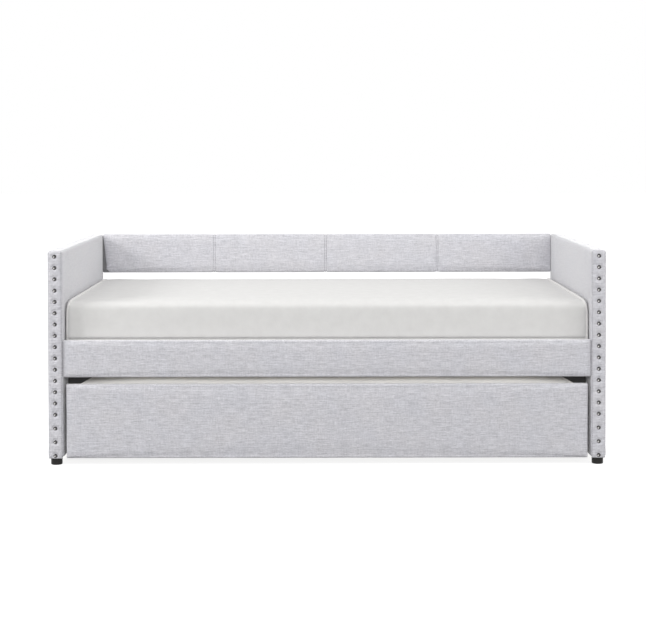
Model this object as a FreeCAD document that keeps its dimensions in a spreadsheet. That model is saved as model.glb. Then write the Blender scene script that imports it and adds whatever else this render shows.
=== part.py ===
import FreeCAD, Part
import Sketcher
import math
import os
import re

# A twin daybed with a roll-out trundle bed under it, in millimetres.
# +X runs along the bed to the right, the front faces -Y and +Z is up.
# The origin is on the floor, at the centre of the bed's footprint.

V = FreeCAD.Vector

SIZES = {
    # mattresses, which the bed is built round
    "mattress_length": 1905,
    "mattress_width": 965,
    "mattress_height": 214,
    "mattress_rounding": 30,
    "mattress_end_gap": 12.5,
    "mattress_front_gap": 1,
    "mattress_back_gap": 3,
    "mattress_lift": 0.3,
    "trundle_mattress_height": 150,
    "trundle_mattress_rounding": 25,
    "trundle_mattress_slack": 8,
    # padded arms
    "arm_height": 764,
    "arm_thickness": 60,
    "arm_padding": 9,
    "arm_rounding": 8,
    # timber frame inside each arm
    "post_width": 62,
    "arm_rail_width": 60,
    "bracket_rail_width": 116,
    # feet
    "foot_height": 24,
    "foot_diameter": 42,
    "foot_inset": 26,
    "foot_rounding": 3,
    "foot_stud_diameter": 8,
    "foot_stud_length": 28,
    # nails down the front of each arm
    "nail_diameter": 18,
    "nail_crown": 4,
    "nail_shank_diameter": 2.2,
    "nail_shank_length": 20,
    "nail_top_margin": 21.5,
    "upper_nail_count": 15,
    "upper_nail_pitch": 41.4,
    "lower_nail_count": 3,
    "lower_nail_pitch": 50.5,
    # padded rails between the arms
    "rail_board_thickness": 20,
    "rail_padding": 9,
    "rail_rounding": 8,
    "rail_end_gap": 1,
    "front_rail_drop": 68,
    "front_rail_height": 135,
    "front_rail_thickness": 38,
    "front_rail_recess": 2,
    "rear_rail_thickness": 32,
    "rear_rail_recess": 2,
    "back_rail_height": 166,
    "back_rail_thickness": 36,
    "back_rail_rounding": 14,
    # keyhole plates on the rail ends and the shouldered screws that they hang on
    "plate_height": 100,
    "plate_thickness": 2.5,
    "hook_spacing": 56,
    "hook_drop": 14,
    "hook_neck_diameter": 6,
    "hook_head_diameter": 12,
    "hook_head_thickness": 2.5,
    "hook_depth": 26,
    "hook_recess_width": 14,
    "hook_recess_depth": 8,
    "fit_clearance": 0.2,
    # slatted deck
    "slat_width": 70,
    "slat_thickness": 18,
    "slat_rounding": 3,
    "slat_count": 12,
    "slat_end_gap": 6,
    "screw_diameter": 4,
    "screw_head_diameter": 9,
    "screw_head_thickness": 3,
    "deck_screw_length": 25,
    # steel bearers under the slats and the folded brackets that carry them
    "bearer_height": 40,
    "bearer_depth": 30,
    "bearer_wall": 2,
    "bearer_rounding": 3,
    "bearer_setback": 112,
    "bracket_thickness": 4,
    "bracket_drop": 54,
    "bracket_foot": 36,
    "bracket_reach": 126,
    "bracket_flange": 64,
    "bolt_diameter": 6,
    "bolt_head_diameter": 12,
    "bolt_head_thickness": 3.5,
    "arm_bolt_spacing": 52,
    "arm_bolt_margin": 15,
    "bearer_bolt_spacing": 50,
    "bearer_bolt_margin": 46,
    "bearer_bolt_length": 16,
    # trundle box
    "trundle_side_gap": 9,
    "trundle_recess": 2,
    "trundle_ground_gap": 24,
    "trundle_headroom": 5.7,
    "pull_gap": 26,
    "trundle_panel_thickness": 36,
    "trundle_panel_rounding": 8,
    "trundle_padding": 8,
    "trundle_board_thickness": 18,
    "trundle_side_base": 45,
    "trundle_side_sink": 2,
    "trundle_back_height": 95,
    "trundle_deck_top": 122,
    "trundle_slat_count": 12,
    "ledger_height": 30,
    "ledger_depth": 20,
    "block_size": 90,
    "block_depth": 155,
    "block_screw_setback": 45,
    "bolt_head_clearance": 2,
    "frame_screw_length": 46,
    "panel_bolt_grip": 14,
    # casters
    "caster_setback": 110,
    "wheel_diameter": 50,
    "wheel_width": 20,
    "wheel_rounding": 3,
    "wheel_web_recess": 4,
    "wheel_rim_depth": 7,
    "wheel_hub_radius": 9,
    "wheel_side_clearance": 0.6,
    "axle_diameter": 8,
    "axle_head_diameter": 12,
    "axle_head_thickness": 2,
    "running_clearance": 0.05,
    "fork_plate_size": 60,
    "fork_plate_thickness": 3,
    "fork_headroom": 6,
    "fork_cheek_width": 30,
    "fork_cheek_wall": 2.5,
    "fork_cheek_overhang": 11,
    "fork_cheek_rounding": 9,
    "fork_screw_spacing": 46,
    "fork_screw_length": 22,
}

# Places that follow from the sizes. A depth is measured back from the arms' front faces.
LAYOUT = {
    "arm_inner": "mattress_length / 2 + mattress_end_gap",
    "half_width": "arm_inner + arm_thickness",
    "front_rail_back": "front_rail_recess + front_rail_thickness",
    "mattress_front": "front_rail_back + mattress_front_gap",
    "back_rail_front": "mattress_front + mattress_width + mattress_back_gap",
    "arm_depth": "back_rail_front + back_rail_thickness",
    "front_face": "(nail_crown - arm_depth) / 2",
    "mid_depth": "front_face + arm_depth / 2",
    "arm_top": "foot_height + arm_height",
    "frame_thickness": "arm_thickness - 2 * arm_padding",
    "frame_depth": "arm_depth - 2 * arm_padding",
    "frame_height": "arm_height - arm_padding",
    "first_nail": "arm_height - nail_top_margin",
    "second_run": "first_nail - (upper_nail_count - 1) * upper_nail_pitch - lower_nail_pitch",
    "rail_length": "2 * (arm_inner - rail_end_gap)",
    "board_length": "rail_length - 2 * plate_thickness",
    "bracket_height": "bracket_drop + bearer_height",
    "bracket_base": "trundle_deck_top + mattress_lift + trundle_mattress_height + trundle_headroom",
    "bearer_base": "bracket_base + bracket_drop",
    "bearer_top": "bearer_base + bearer_height",
    "deck_top": "bearer_top + slat_thickness",
    "front_rail_base": "deck_top - front_rail_drop",
    "rear_rail_front": "arm_depth - rear_rail_recess - rear_rail_thickness",
    "back_rail_base": "arm_top - back_rail_height",
    "front_hook_depth": "front_rail_recess + front_rail_thickness / 2",
    "rear_hook_depth": "rear_rail_front + rear_rail_thickness / 2",
    "back_hook_depth": "arm_depth - back_rail_thickness / 2",
    "low_hook_height": "front_rail_base + (front_rail_height + hook_drop - hook_spacing) / 2",
    "high_hook_height": "back_rail_base + (back_rail_height + hook_drop - hook_spacing) / 2",
    "bearer_end": "arm_inner - bracket_thickness - fit_clearance",
    "bracket_front": "bearer_setback - bracket_thickness",
    "arm_bolt_depth": "bracket_front + bracket_flange - arm_bolt_margin",
    "arm_bolt_height": "bracket_base + arm_bolt_margin",
    "bearer_bolt_height": "bearer_base + bearer_height / 2",
    "middle_rail_base": "bracket_base - foot_height - (bracket_rail_width - bracket_height) / 2",
    "slat_front": "front_rail_back + slat_end_gap",
    "slat_length": "arm_depth - 2 * slat_front",
    "slat_run": "mattress_length - 2 * slat_end_gap - slat_width",
    "slat_pitch": "slat_run / (slat_count - 1)",
    "slat_screw_inset": "bearer_setback + bearer_depth / 2 - slat_front",
    "slat_screw_span": "slat_length - 2 * slat_screw_inset",
    "trundle_half": "arm_inner - trundle_side_gap",
    "trundle_side_inner": "trundle_half - trundle_board_thickness",
    "trundle_front": "front_face + trundle_recess",
    "trundle_box_front": "trundle_front + trundle_panel_thickness",
    "trundle_box_depth": "mattress_front_gap + mattress_width + trundle_mattress_slack",
    "trundle_box_back": "trundle_box_front + trundle_box_depth",
    "trundle_panel_height": "front_rail_base - pull_gap - trundle_ground_gap",
    "trundle_side_height": "trundle_deck_top - trundle_side_sink - trundle_side_base",
    "trundle_middle": "(trundle_box_front + trundle_box_back) / 2",
    "trundle_panel_board": "trundle_panel_thickness - 2 * trundle_padding",
    "slat_base": "trundle_deck_top - slat_thickness",
    "fork_plate_base": "wheel_diameter + fork_headroom",
    "block_base": "fork_plate_base + fork_plate_thickness",
    "block_height": "slat_base - block_base",
    "block_inner": "trundle_side_inner - block_size",
    "caster_side": "trundle_side_inner - block_size / 2",
    "caster_front": "trundle_box_front + caster_setback",
    "block_screw_front": "trundle_box_front + block_screw_setback",
    "panel_bolt_seat": "trundle_box_front + block_size",
    "block_screw_height": "block_base + block_height / 2",
    "ledger_length": "2 * block_inner",
    "trundle_slat_run": "2 * trundle_side_inner - 2 * slat_end_gap - slat_width",
    "trundle_slat_pitch": "trundle_slat_run / (trundle_slat_count - 1)",
    "fork_gap": "wheel_width + 2 * wheel_side_clearance",
    "fork_outside": "fork_gap + 2 * fork_cheek_wall",
    "axle_grip": "fork_outside + 2 * fit_clearance",
}

doc = FreeCAD.newDocument("TrundleBed")
nodes = []


# ---------------------------------------------------------------- sheets and expressions

def sheet_reference(match):
    word = match.group()
    if word in SIZES:
        return "Sizes." + word
    if word in LAYOUT:
        return "Layout." + word
    return word


def expression(text):
    """Name the sheet of each size in a formula, so that an object can follow it."""
    return re.sub(r"[a-z_]+", sheet_reference, text)


def fill_sheet(name, rows, write):
    sheet = doc.addObject("Spreadsheet::Sheet", name)
    for row, (alias, content) in enumerate(rows.items(), start=1):
        sheet.set(f"A{row}", alias.replace("_", " "))
        sheet.set(f"B{row}", write(content))
        sheet.setAlias(f"B{row}", alias)
    doc.recompute()
    return sheet


def size_reference(match):
    word = match.group()
    return "Sizes." + word if word in SIZES else word


def layout_formula(text):
    return "=" + re.sub(r"[a-z_]+", size_reference, text)


sizes = fill_sheet("Sizes", SIZES, str)
layout = fill_sheet("Layout", LAYOUT, layout_formula)


def value(alias):
    sheet = sizes if alias in SIZES else layout
    return float(sheet.get(alias))


def bind(thing, formulas):
    for path, formula in formulas.items():
        thing.setExpression(path, expression(formula))
    return thing


def place(thing, corner):
    return bind(thing, dict(zip(("Placement.Base.x", "Placement.Base.y", "Placement.Base.z"), corner)))


def node(label, thing):
    """Keep a finished piece under the name of its file."""
    thing.Label = label
    nodes.append(thing)
    return thing


# ---------------------------------------------------------------- plain solids and booleans

def block(name, corner, size):
    box = doc.addObject("Part::Box", name)
    bind(box, dict(zip(("Length", "Width", "Height"), size)))
    return place(box, corner)


TURN_TO = {
    "X": FreeCAD.Rotation(V(0, 0, 1), V(1, 0, 0)),
    "Y": FreeCAD.Rotation(V(0, 0, 1), V(0, 1, 0)),
    "Z": FreeCAD.Rotation(),
}


def rod(name, along, start, radius, length):
    cylinder = doc.addObject("Part::Cylinder", name)
    cylinder.Placement = FreeCAD.Placement(V(), TURN_TO[along])
    bind(cylinder, {"Radius": radius, "Height": length})
    return place(cylinder, start)


def fuse(name, pieces):
    fused = doc.addObject("Part::MultiFuse", name)
    fused.Shapes = pieces
    return fused


def cut(name, base, tool):
    result = doc.addObject("Part::Cut", name)
    result.Base = base
    result.Tool = tool
    return result


def group(name, pieces):
    compound = doc.addObject("Part::Compound", name)
    compound.Links = pieces
    return compound


MIRRORS = {
    "across": (V(1, 0, 0), None),
    "along": (V(0, 1, 0), "mid_depth"),
    "along trundle": (V(0, 1, 0), "trundle_middle"),
}


def mirrored(name, source, which):
    """A mirror image, across the bed's length or from front to back."""
    normal, plane_depth = MIRRORS[which]
    image = doc.addObject("Part::Mirroring", name)
    image.Source = source
    image.Normal = normal
    if plane_depth:
        bind(image, {"Base.y": plane_depth})
    return image


def four_corners(name, source, along):
    """The source, which is at the front left, and its images at the other three corners."""
    right = mirrored(name + "_front_right", source, "across")
    rear_left = mirrored(name + "_rear_left", source, along)
    rear_right = mirrored(name + "_rear_right", right, along)
    return [source, right, rear_left, rear_right]


# ---------------------------------------------------------------- bodies, sketches, features

def new_body(name, corner):
    return place(doc.addObject("PartDesign::Body", name), corner)


def origin_feature(body, role):
    return next(feature for feature in body.Origin.OriginFeatures if feature.Role == role)


def new_sketch(body, role, offset="0"):
    sketch = body.newObject("Sketcher::SketchObject", body.Name + "_sketch")
    sketch.AttachmentSupport = (origin_feature(body, role), [""])
    sketch.MapMode = "FlatFace"
    return bind(sketch, {"AttachmentOffset.Base.z": offset})


def pin(sketch, geometry, point, x, y):
    """Hold one point of a sketch at two formulas, measured from its origin."""
    drawn = sketch.getPoint(geometry, point)
    for kind, distance, formula in (("DistanceX", drawn.x, x), ("DistanceY", drawn.y, y)):
        index = sketch.addConstraint(Sketcher.Constraint(kind, -1, 1, geometry, point, distance))
        bind(sketch, {f"Constraints[{index}]": formula})


def outline(sketch, points):
    """A closed outline of straight edges through points given by formulas."""
    first = sketch.GeometryCount
    count = len(points)
    turns = [2 * math.pi * i / count for i in range(count)]
    ring = [V(math.cos(turn), math.sin(turn), 0) for turn in turns]
    for i in range(count):
        sketch.addGeometry(Part.LineSegment(ring[i], ring[(i + 1) % count]), False)
    for i in range(count):
        sketch.addConstraint(Sketcher.Constraint("Coincident", first + i, 2, first + (i + 1) % count, 1))
    for i, (x, y) in enumerate(points):
        pin(sketch, first + i, 1, x, y)


def rectangle(sketch, left, low, right, high):
    outline(sketch, [(left, low), (right, low), (right, high), (left, high)])


def circle(sketch, x, y, radius):
    index = sketch.addGeometry(Part.Circle(V(), V(0, 0, 1), 1.0), False)
    pin(sketch, index, 3, x, y)
    size = sketch.addConstraint(Sketcher.Constraint("Radius", index, 1.0))
    bind(sketch, {f"Constraints[{size}]": radius})


def feature(body, kind, sketch, settings, formulas):
    made = body.newObject("PartDesign::" + kind, f"{body.Name}_{kind}")
    made.Profile = sketch
    for name, setting in settings.items():
        setattr(made, name, setting)
    bind(made, formulas)
    doc.recompute()
    return made


def pad(body, sketch, length):
    return feature(body, "Pad", sketch, {}, {"Length": length})


def pocket(body, sketch, depth, towards_normal=False):
    """Cut a sketch into the body, and make sure that the cut took something away."""
    before = body.Shape.Volume
    made = feature(body, "Pocket", sketch, {"Reversed": towards_normal}, {"Length": depth})
    if made.Shape.Volume > before - 1:
        raise RuntimeError(made.Name + " removes nothing")
    return made


def revolve(body, sketch, axis):
    return feature(body, "Revolution", sketch, {"ReferenceAxis": (sketch, [axis]), "Angle": 360}, {})


def repeat(body, original, runs, downwards=False):
    """Repeat a feature along one or two of the body's axes: (role, pitch, count) each."""
    pattern = body.newObject("PartDesign::LinearPattern", body.Name + "_pattern")
    pattern.Originals = [original]
    for suffix, (role, pitch, count) in zip(("", "2"), runs):
        setattr(pattern, "Direction" + suffix, (origin_feature(body, role), [""]))
        bind(pattern, {"Length" + suffix: f"{pitch} * ({count} - 1)", "Occurrences" + suffix: count})
    pattern.Reversed = downwards
    body.Tip = pattern
    doc.recompute()
    return pattern


def round_edges(body, radius, chosen):
    """Fillet the edges of the body's last feature for which chosen(edge) is true."""
    base = body.Tip
    names = [f"Edge{i}" for i, edge in enumerate(base.Shape.Edges, start=1) if chosen(edge)]
    fillet = body.newObject("PartDesign::Fillet", body.Name + "_fillet")
    fillet.Base = (base, names)
    bind(fillet, {"Radius": radius})
    doc.recompute()
    return fillet


def runs_along(edge, axis):
    """Whether an edge is straight and parallel to an axis."""
    direction = edge.lastVertex().Point - edge.firstVertex().Point
    across = direction - axis * direction.dot(axis)
    return direction.Length > 0 and across.Length < 0.001 * direction.Length


X_AXIS, Y_AXIS = V(1, 0, 0), V(0, 1, 0)


def fastener(name, head_seat, along, sense, shank, head):
    """A headed screw or bolt: its head's underside is at head_seat, its shank runs along an axis.

    shank and head are each a (diameter, length) pair of formulas, and sense is "" or "-".
    """
    body = new_body(name, head_seat)
    head_end = f"-({head[1]})" if sense == "" else head[1]
    profile = [
        (head_end, "0"),
        (head_end, f"{head[0]} / 2"),
        ("0", f"{head[0]} / 2"),
        ("0", f"{shank[0]} / 2"),
        (f"{sense}({shank[1]})", f"{shank[0]} / 2"),
        (f"{sense}({shank[1]})", "0"),
    ]
    role = {"X": "XY_Plane", "Y": "YZ_Plane", "Z": "XZ_Plane"}[along]
    axis = "V_Axis" if along == "Z" else "H_Axis"
    if along == "Z":
        profile = [(radius, height) for height, radius in profile]
    sketch = new_sketch(body, role)
    outline(sketch, profile)
    return body, revolve(body, sketch, axis)


# ---------------------------------------------------------------- arms

ARM_CORNER = ("-half_width", "front_face", "foot_height")
HOOK_PLACES = [
    (depth, f"{height} - foot_height + {step}")
    for depth, height in (
        ("front_hook_depth", "low_hook_height"),
        ("rear_hook_depth", "low_hook_height"),
        ("back_hook_depth", "high_hook_height"),
    )
    for step in ("0", "hook_spacing")
]
ARM_BOLT_PLACES = [
    (depth, f"arm_bolt_height - foot_height + {step}")
    for depth in ("arm_bolt_depth", "arm_depth - arm_bolt_depth")
    for step in ("0", "arm_bolt_spacing")
]
NAIL_RUNS = (
    ("first_nail", "upper_nail_pitch", "upper_nail_count"),
    ("second_run", "lower_nail_pitch", "lower_nail_count"),
)


def drill_arm(body, inner_side, inner_depth, front, front_depth):
    """The holes that the rails' screws, the brackets' bolts and the nails share."""
    sketch = new_sketch(body, "YZ_Plane", inner_side)
    for depth, height in HOOK_PLACES + ARM_BOLT_PLACES:
        circle(sketch, depth, height, "hook_neck_diameter / 2 + fit_clearance")
    pocket(body, sketch, inner_depth)
    for start, pitch, count in NAIL_RUNS:
        sketch = new_sketch(body, "XZ_Plane", f"-({front})")
        circle(sketch, "arm_thickness / 2", start, "nail_shank_diameter / 2 + running_clearance")
        hole = pocket(body, sketch, front_depth)
        repeat(body, hole, [("Z_Axis", pitch, count)], downwards=True)


def arm_frame():
    """The glued timber ladder inside an arm: two posts and three rails."""
    body = new_body("left_arm_frame", ARM_CORNER)
    sketch = new_sketch(body, "YZ_Plane", "arm_padding")
    rectangle(sketch, "arm_padding", "0", "arm_padding + frame_depth", "frame_height")
    post_front, post_back = "arm_padding + post_width", "arm_padding + frame_depth - post_width"
    rectangle(sketch, post_front, "arm_rail_width", post_back, "middle_rail_base")
    rectangle(
        sketch,
        post_front,
        "middle_rail_base + bracket_rail_width",
        post_back,
        "frame_height - arm_rail_width",
    )
    pad(body, sketch, "frame_thickness")
    nail_grip = "nail_shank_length - arm_padding + 1"
    drill_arm(body, "arm_thickness - arm_padding", "hook_depth", "arm_padding", nail_grip)
    studs = new_sketch(body, "XY_Plane")
    for depth in ("foot_inset", "arm_depth - foot_inset"):
        circle(studs, "arm_thickness / 2", depth, "foot_stud_diameter / 2 + fit_clearance")
    pocket(body, studs, "foot_stud_length + 1", towards_normal=True)
    return body


def arm_cover():
    """Foam and fabric wrapped round an arm's frame, open underneath where the feet go."""
    body = new_body("left_arm_cover", ARM_CORNER)
    sketch = new_sketch(body, "XY_Plane")
    rectangle(sketch, "0", "0", "arm_thickness", "arm_depth")
    pad(body, sketch, "arm_height")
    round_edges(body, "arm_rounding", lambda edge: edge.BoundBox.ZMax > 1)
    hollow = new_sketch(body, "XY_Plane")
    rectangle(
        hollow,
        "arm_padding",
        "arm_padding",
        "arm_thickness - arm_padding",
        "arm_depth - arm_padding",
    )
    pocket(body, hollow, "frame_height", towards_normal=True)
    drill_arm(body, "arm_thickness", "arm_padding", "0", "arm_padding")
    return body


def arm_nails():
    """Domed nails down the front of an arm, closer together above than below."""
    runs = []
    radius, crown = value("nail_diameter") / 2, value("nail_crown")
    ball = (radius ** 2 + crown ** 2) / (2 * crown)
    rim_turn = math.pi - math.asin(radius / ball)
    for start, pitch, count in NAIL_RUNS:
        first_head = ("arm_thickness / 2 - half_width", "front_face", f"foot_height + {start}")
        body = new_body("nail_run", first_head)
        sketch = new_sketch(body, "YZ_Plane")
        centre = V(ball - crown, 0, 0)
        dome = Part.ArcOfCircle(Part.Circle(centre, V(0, 0, 1), ball), rim_turn, math.pi)
        sketch.addGeometry(dome, False)
        pin(sketch, 0, 1, "0", "nail_diameter / 2")
        pin(sketch, 0, 2, "-nail_crown", "0")
        sketch.addConstraint(Sketcher.Constraint("PointOnObject", 0, 3, -1))
        stem = [
            ("0", "nail_diameter / 2"),
            ("0", "nail_shank_diameter / 2"),
            ("nail_shank_length", "nail_shank_diameter / 2"),
            ("nail_shank_length", "0"),
            ("-nail_crown", "0"),
        ]
        corners = [V(0, radius, 0), V(0, 1, 0), V(20, 1, 0), V(20, 0, 0), V(-crown, 0, 0)]
        for i, (begin, end) in enumerate(zip(corners, corners[1:]), start=1):
            sketch.addGeometry(Part.LineSegment(begin, end), False)
            pin(sketch, i, 1, *stem[i - 1])
            pin(sketch, i, 2, *stem[i])
        nail = revolve(body, sketch, "H_Axis")
        repeat(body, nail, [("Z_Axis", pitch, count)], downwards=True)
        runs.append(body)
    return group("left_arm_nails", runs)


def make_arms():
    for name, piece in (("frame", arm_frame()), ("cover", arm_cover()), ("nailheads", arm_nails())):
        node(f"left_arm_{name}", piece)
        node(f"right_arm_{name}", mirrored(f"right_arm_{name}", piece, "across"))


def make_feet():
    """Round glides with a moulded-in stud, under the four posts."""
    body = new_body("foot", ("arm_thickness / 2 - half_width", "front_face + foot_inset", "0"))
    sketch = new_sketch(body, "XZ_Plane")
    outline(
        sketch,
        [
            ("0", "0"),
            ("foot_diameter / 2", "0"),
            ("foot_diameter / 2", "foot_height"),
            ("foot_stud_diameter / 2", "foot_height"),
            ("foot_stud_diameter / 2", "foot_height + foot_stud_length"),
            ("0", "foot_height + foot_stud_length"),
        ],
    )
    revolve(body, sketch, "V_Axis")
    round_edges(body, "foot_rounding", lambda edge: abs(edge.BoundBox.ZMax) < 0.1 and edge.Length > 1)
    places = ("front_left", "front_right", "rear_left", "rear_right")
    for place_name, foot in zip(places, four_corners("foot", body, "along")):
        node(f"{place_name}_foot", foot)


# ---------------------------------------------------------------- padded rails

def keyhole(name, x, y, z, depth):
    """A slot that holds the screw's neck at its top, and a round way in for its head below."""
    neck = "hook_neck_diameter / 2 + fit_clearance"
    slot = block(
        name + "_slot",
        (x, f"{y} - ({neck})", f"{z} - hook_drop"),
        (depth, f"2 * ({neck})", "hook_drop"),
    )
    top = rod(name + "_top", "X", (x, y, z), neck, depth)
    head = "hook_head_diameter / 2 + fit_clearance"
    way_in = rod(name + "_way_in", "X", (x, y, f"{z} - hook_drop"), head, depth)
    return fuse(name, [slot, top, way_in])


def end_plate(name, y, hook_height):
    rail_end = "rail_end_gap - arm_inner"
    low = f"{hook_height} + (hook_spacing - hook_drop - plate_height) / 2"
    blank = block(
        name + "_blank",
        (rail_end, f"{y} - rail_board_thickness / 2", low),
        ("plate_thickness", "rail_board_thickness", "plate_height"),
    )
    holes = [
        keyhole(f"{name}_keyhole_{i}", rail_end, y, f"{hook_height} + {step}", "plate_thickness")
        for i, step in enumerate(("0", "hook_spacing"))
    ]
    return cut(name, blank, fuse(name + "_keyholes", holes))


def padded_rail(name, depth, base, thickness, height, hook_height, top_rounding):
    """A board in a padded sleeve. Both stop at the plates, which hang on screws in the arms."""
    front = f"front_face + {depth}"
    middle = f"{front} + {thickness} / 2"
    board_end = "rail_end_gap + plate_thickness - arm_inner"
    blank = block(
        name + "_blank",
        (board_end, f"{middle} - rail_board_thickness / 2", f"{base} + rail_padding"),
        ("board_length", "rail_board_thickness", f"{height} - 2 * rail_padding"),
    )
    recesses = [
        block(
            f"{name}_recess_{i}",
            (
                board_end,
                f"{middle} - hook_recess_width / 2",
                f"{hook_height} + {step} - hook_drop - hook_recess_width / 2",
            ),
            ("hook_recess_depth", "hook_recess_width", "hook_drop + hook_recess_width"),
        )
        for i, step in enumerate(("0", "hook_spacing"))
    ]
    left_recess = fuse(name + "_recess", recesses)
    both = fuse(name + "_recesses", [left_recess, mirrored(name + "_right_recess", left_recess, "across")])
    node(f"{name}_board", cut(name + "_board", blank, both))

    sleeve = new_body(name + "_cover", ("rail_end_gap - arm_inner", front, base))
    section = new_sketch(sleeve, "YZ_Plane")
    rectangle(section, "0", "0", thickness, height)
    pad(sleeve, section, "rail_length")
    top = value(height) - 1
    is_top = lambda edge: runs_along(edge, X_AXIS) and edge.BoundBox.ZMin > top
    is_bottom = lambda edge: runs_along(edge, X_AXIS) and edge.BoundBox.ZMax < 1
    round_edges(sleeve, top_rounding, is_top)
    round_edges(sleeve, "rail_rounding", is_bottom)
    core = new_sketch(sleeve, "YZ_Plane")
    rectangle(
        core,
        f"({thickness} - rail_board_thickness) / 2",
        "rail_padding",
        f"({thickness} + rail_board_thickness) / 2",
        f"{height} - rail_padding",
    )
    pocket(sleeve, core, "rail_length", towards_normal=True)
    node(f"{name}_cover", sleeve)

    screws, screw = fastener(
        name + "_hook",
        ("rail_end_gap + plate_thickness + fit_clearance - arm_inner", middle, hook_height),
        "X",
        "-",
        (
            "hook_neck_diameter",
            "rail_end_gap + plate_thickness + fit_clearance + arm_padding + hook_depth - 1",
        ),
        ("hook_head_diameter", "hook_head_thickness"),
    )
    repeat(screws, screw, [("Z_Axis", "hook_spacing", "2")])
    return end_plate(name + "_plate", middle, hook_height), screws


def make_rails():
    fittings = [
        padded_rail(
            "front_rail",
            "front_rail_recess",
            "front_rail_base",
            "front_rail_thickness",
            "front_rail_height",
            "low_hook_height",
            "rail_rounding",
        ),
        padded_rail(
            "rear_rail",
            "rear_rail_front",
            "front_rail_base",
            "rear_rail_thickness",
            "front_rail_height",
            "low_hook_height",
            "rail_rounding",
        ),
        padded_rail(
            "back_rail",
            "back_rail_front",
            "back_rail_base",
            "back_rail_thickness",
            "back_rail_height",
            "high_hook_height",
            "back_rail_rounding",
        ),
    ]
    for name, pieces in zip(("rail_end_plates", "rail_hook_screws"), zip(*fittings)):
        left = group(name + "_left", list(pieces))
        node(name, group(name, [left, mirrored(name + "_right", left, "across")]))


# ---------------------------------------------------------------- slatted deck

def bracket():
    """A folded steel bracket: a web with a slanted foot, a flange on the arm and a shelf."""
    body = new_body("bracket", ("-arm_inner", "front_face + bracket_front", "bracket_base"))
    web = new_sketch(body, "XZ_Plane", "-bracket_thickness")
    top = "bracket_height - fit_clearance"
    outline(
        web,
        [
            ("0", "0"),
            ("bracket_foot", "0"),
            ("bracket_reach", "bracket_drop - bracket_thickness"),
            ("bracket_reach", top),
            ("0", top),
        ],
    )
    pad(body, web, "bracket_thickness")
    flange = new_sketch(body, "YZ_Plane")
    rectangle(flange, "0", "0", "bracket_flange", top)
    pad(body, flange, "bracket_thickness")
    shelf = new_sketch(body, "XY_Plane", "bracket_drop - bracket_thickness")
    rectangle(shelf, "0", "0", "bracket_reach", "bracket_thickness + bearer_depth")
    pad(body, shelf, "bracket_thickness")
    arm_holes = new_sketch(body, "YZ_Plane", "bracket_thickness")
    for step in ("0", "arm_bolt_spacing"):
        circle(
            arm_holes,
            "arm_bolt_depth - bracket_front",
            f"arm_bolt_margin + {step}",
            "bolt_diameter / 2 + fit_clearance",
        )
    pocket(body, arm_holes, "bracket_thickness")
    bearer_holes = new_sketch(body, "XZ_Plane")
    for step in ("0", "bearer_bolt_spacing"):
        circle(
            bearer_holes,
            f"bearer_bolt_margin + {step}",
            "bracket_drop + bearer_height / 2",
            "bolt_diameter / 2 + fit_clearance",
        )
    pocket(body, bearer_holes, "bracket_thickness")
    return body


def bearer():
    """A rectangular steel tube that runs between the arms under the slats."""
    body = new_body("bearer", ("-bearer_end", "front_face + bearer_setback", "bearer_base"))
    section = new_sketch(body, "YZ_Plane")
    rectangle(section, "0", "0", "bearer_depth", "bearer_height")
    pad(body, section, "2 * bearer_end")
    round_edges(body, "bearer_rounding", lambda edge: runs_along(edge, X_AXIS))
    bore = new_sketch(body, "YZ_Plane")
    rectangle(
        bore,
        "bearer_wall",
        "bearer_wall",
        "bearer_depth - bearer_wall",
        "bearer_height - bearer_wall",
    )
    pocket(body, bore, "2 * bearer_end", towards_normal=True)
    bolt_holes = new_sketch(body, "XZ_Plane")
    for margin in ("bearer_bolt_margin", "bearer_bolt_margin + bearer_bolt_spacing"):
        from_end = f"{margin} - arm_inner + bearer_end"
        for x in (from_end, f"2 * bearer_end - ({from_end})"):
            circle(bolt_holes, x, "bearer_height / 2", "bolt_diameter / 2 + fit_clearance")
    pocket(body, bolt_holes, "2 * bearer_wall")
    screw_hole = new_sketch(body, "XY_Plane", "bearer_height")
    first_slat = "bearer_end - slat_run / 2"
    circle(screw_hole, first_slat, "bearer_depth / 2", "screw_diameter / 2 + fit_clearance")
    hole = pocket(body, screw_hole, "2 * bearer_wall")
    repeat(body, hole, [("X_Axis", "slat_pitch", "slat_count")])
    return body


def make_slat(name, centre):
    """One slat with eased long edges and a sunk screw hole over each bearer."""
    body = new_body(name, (f"{centre} - slat_width / 2", "front_face + slat_front", "bearer_top"))
    plan = new_sketch(body, "XY_Plane")
    rectangle(plan, "0", "0", "slat_width", "slat_length")
    pad(body, plan, "slat_thickness")
    round_edges(body, "slat_rounding", lambda edge: runs_along(edge, Y_AXIS))
    through = ("screw_diameter", "slat_thickness")
    sunk = ("screw_head_diameter", "screw_head_thickness")
    for diameter, depth in (through, sunk):
        holes = new_sketch(body, "XY_Plane", "slat_thickness")
        for y in ("slat_screw_inset", "slat_length - slat_screw_inset"):
            circle(holes, "slat_width / 2", y, f"{diameter} / 2 + fit_clearance")
        pocket(body, holes, depth)
    return node(name, body)


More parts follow.
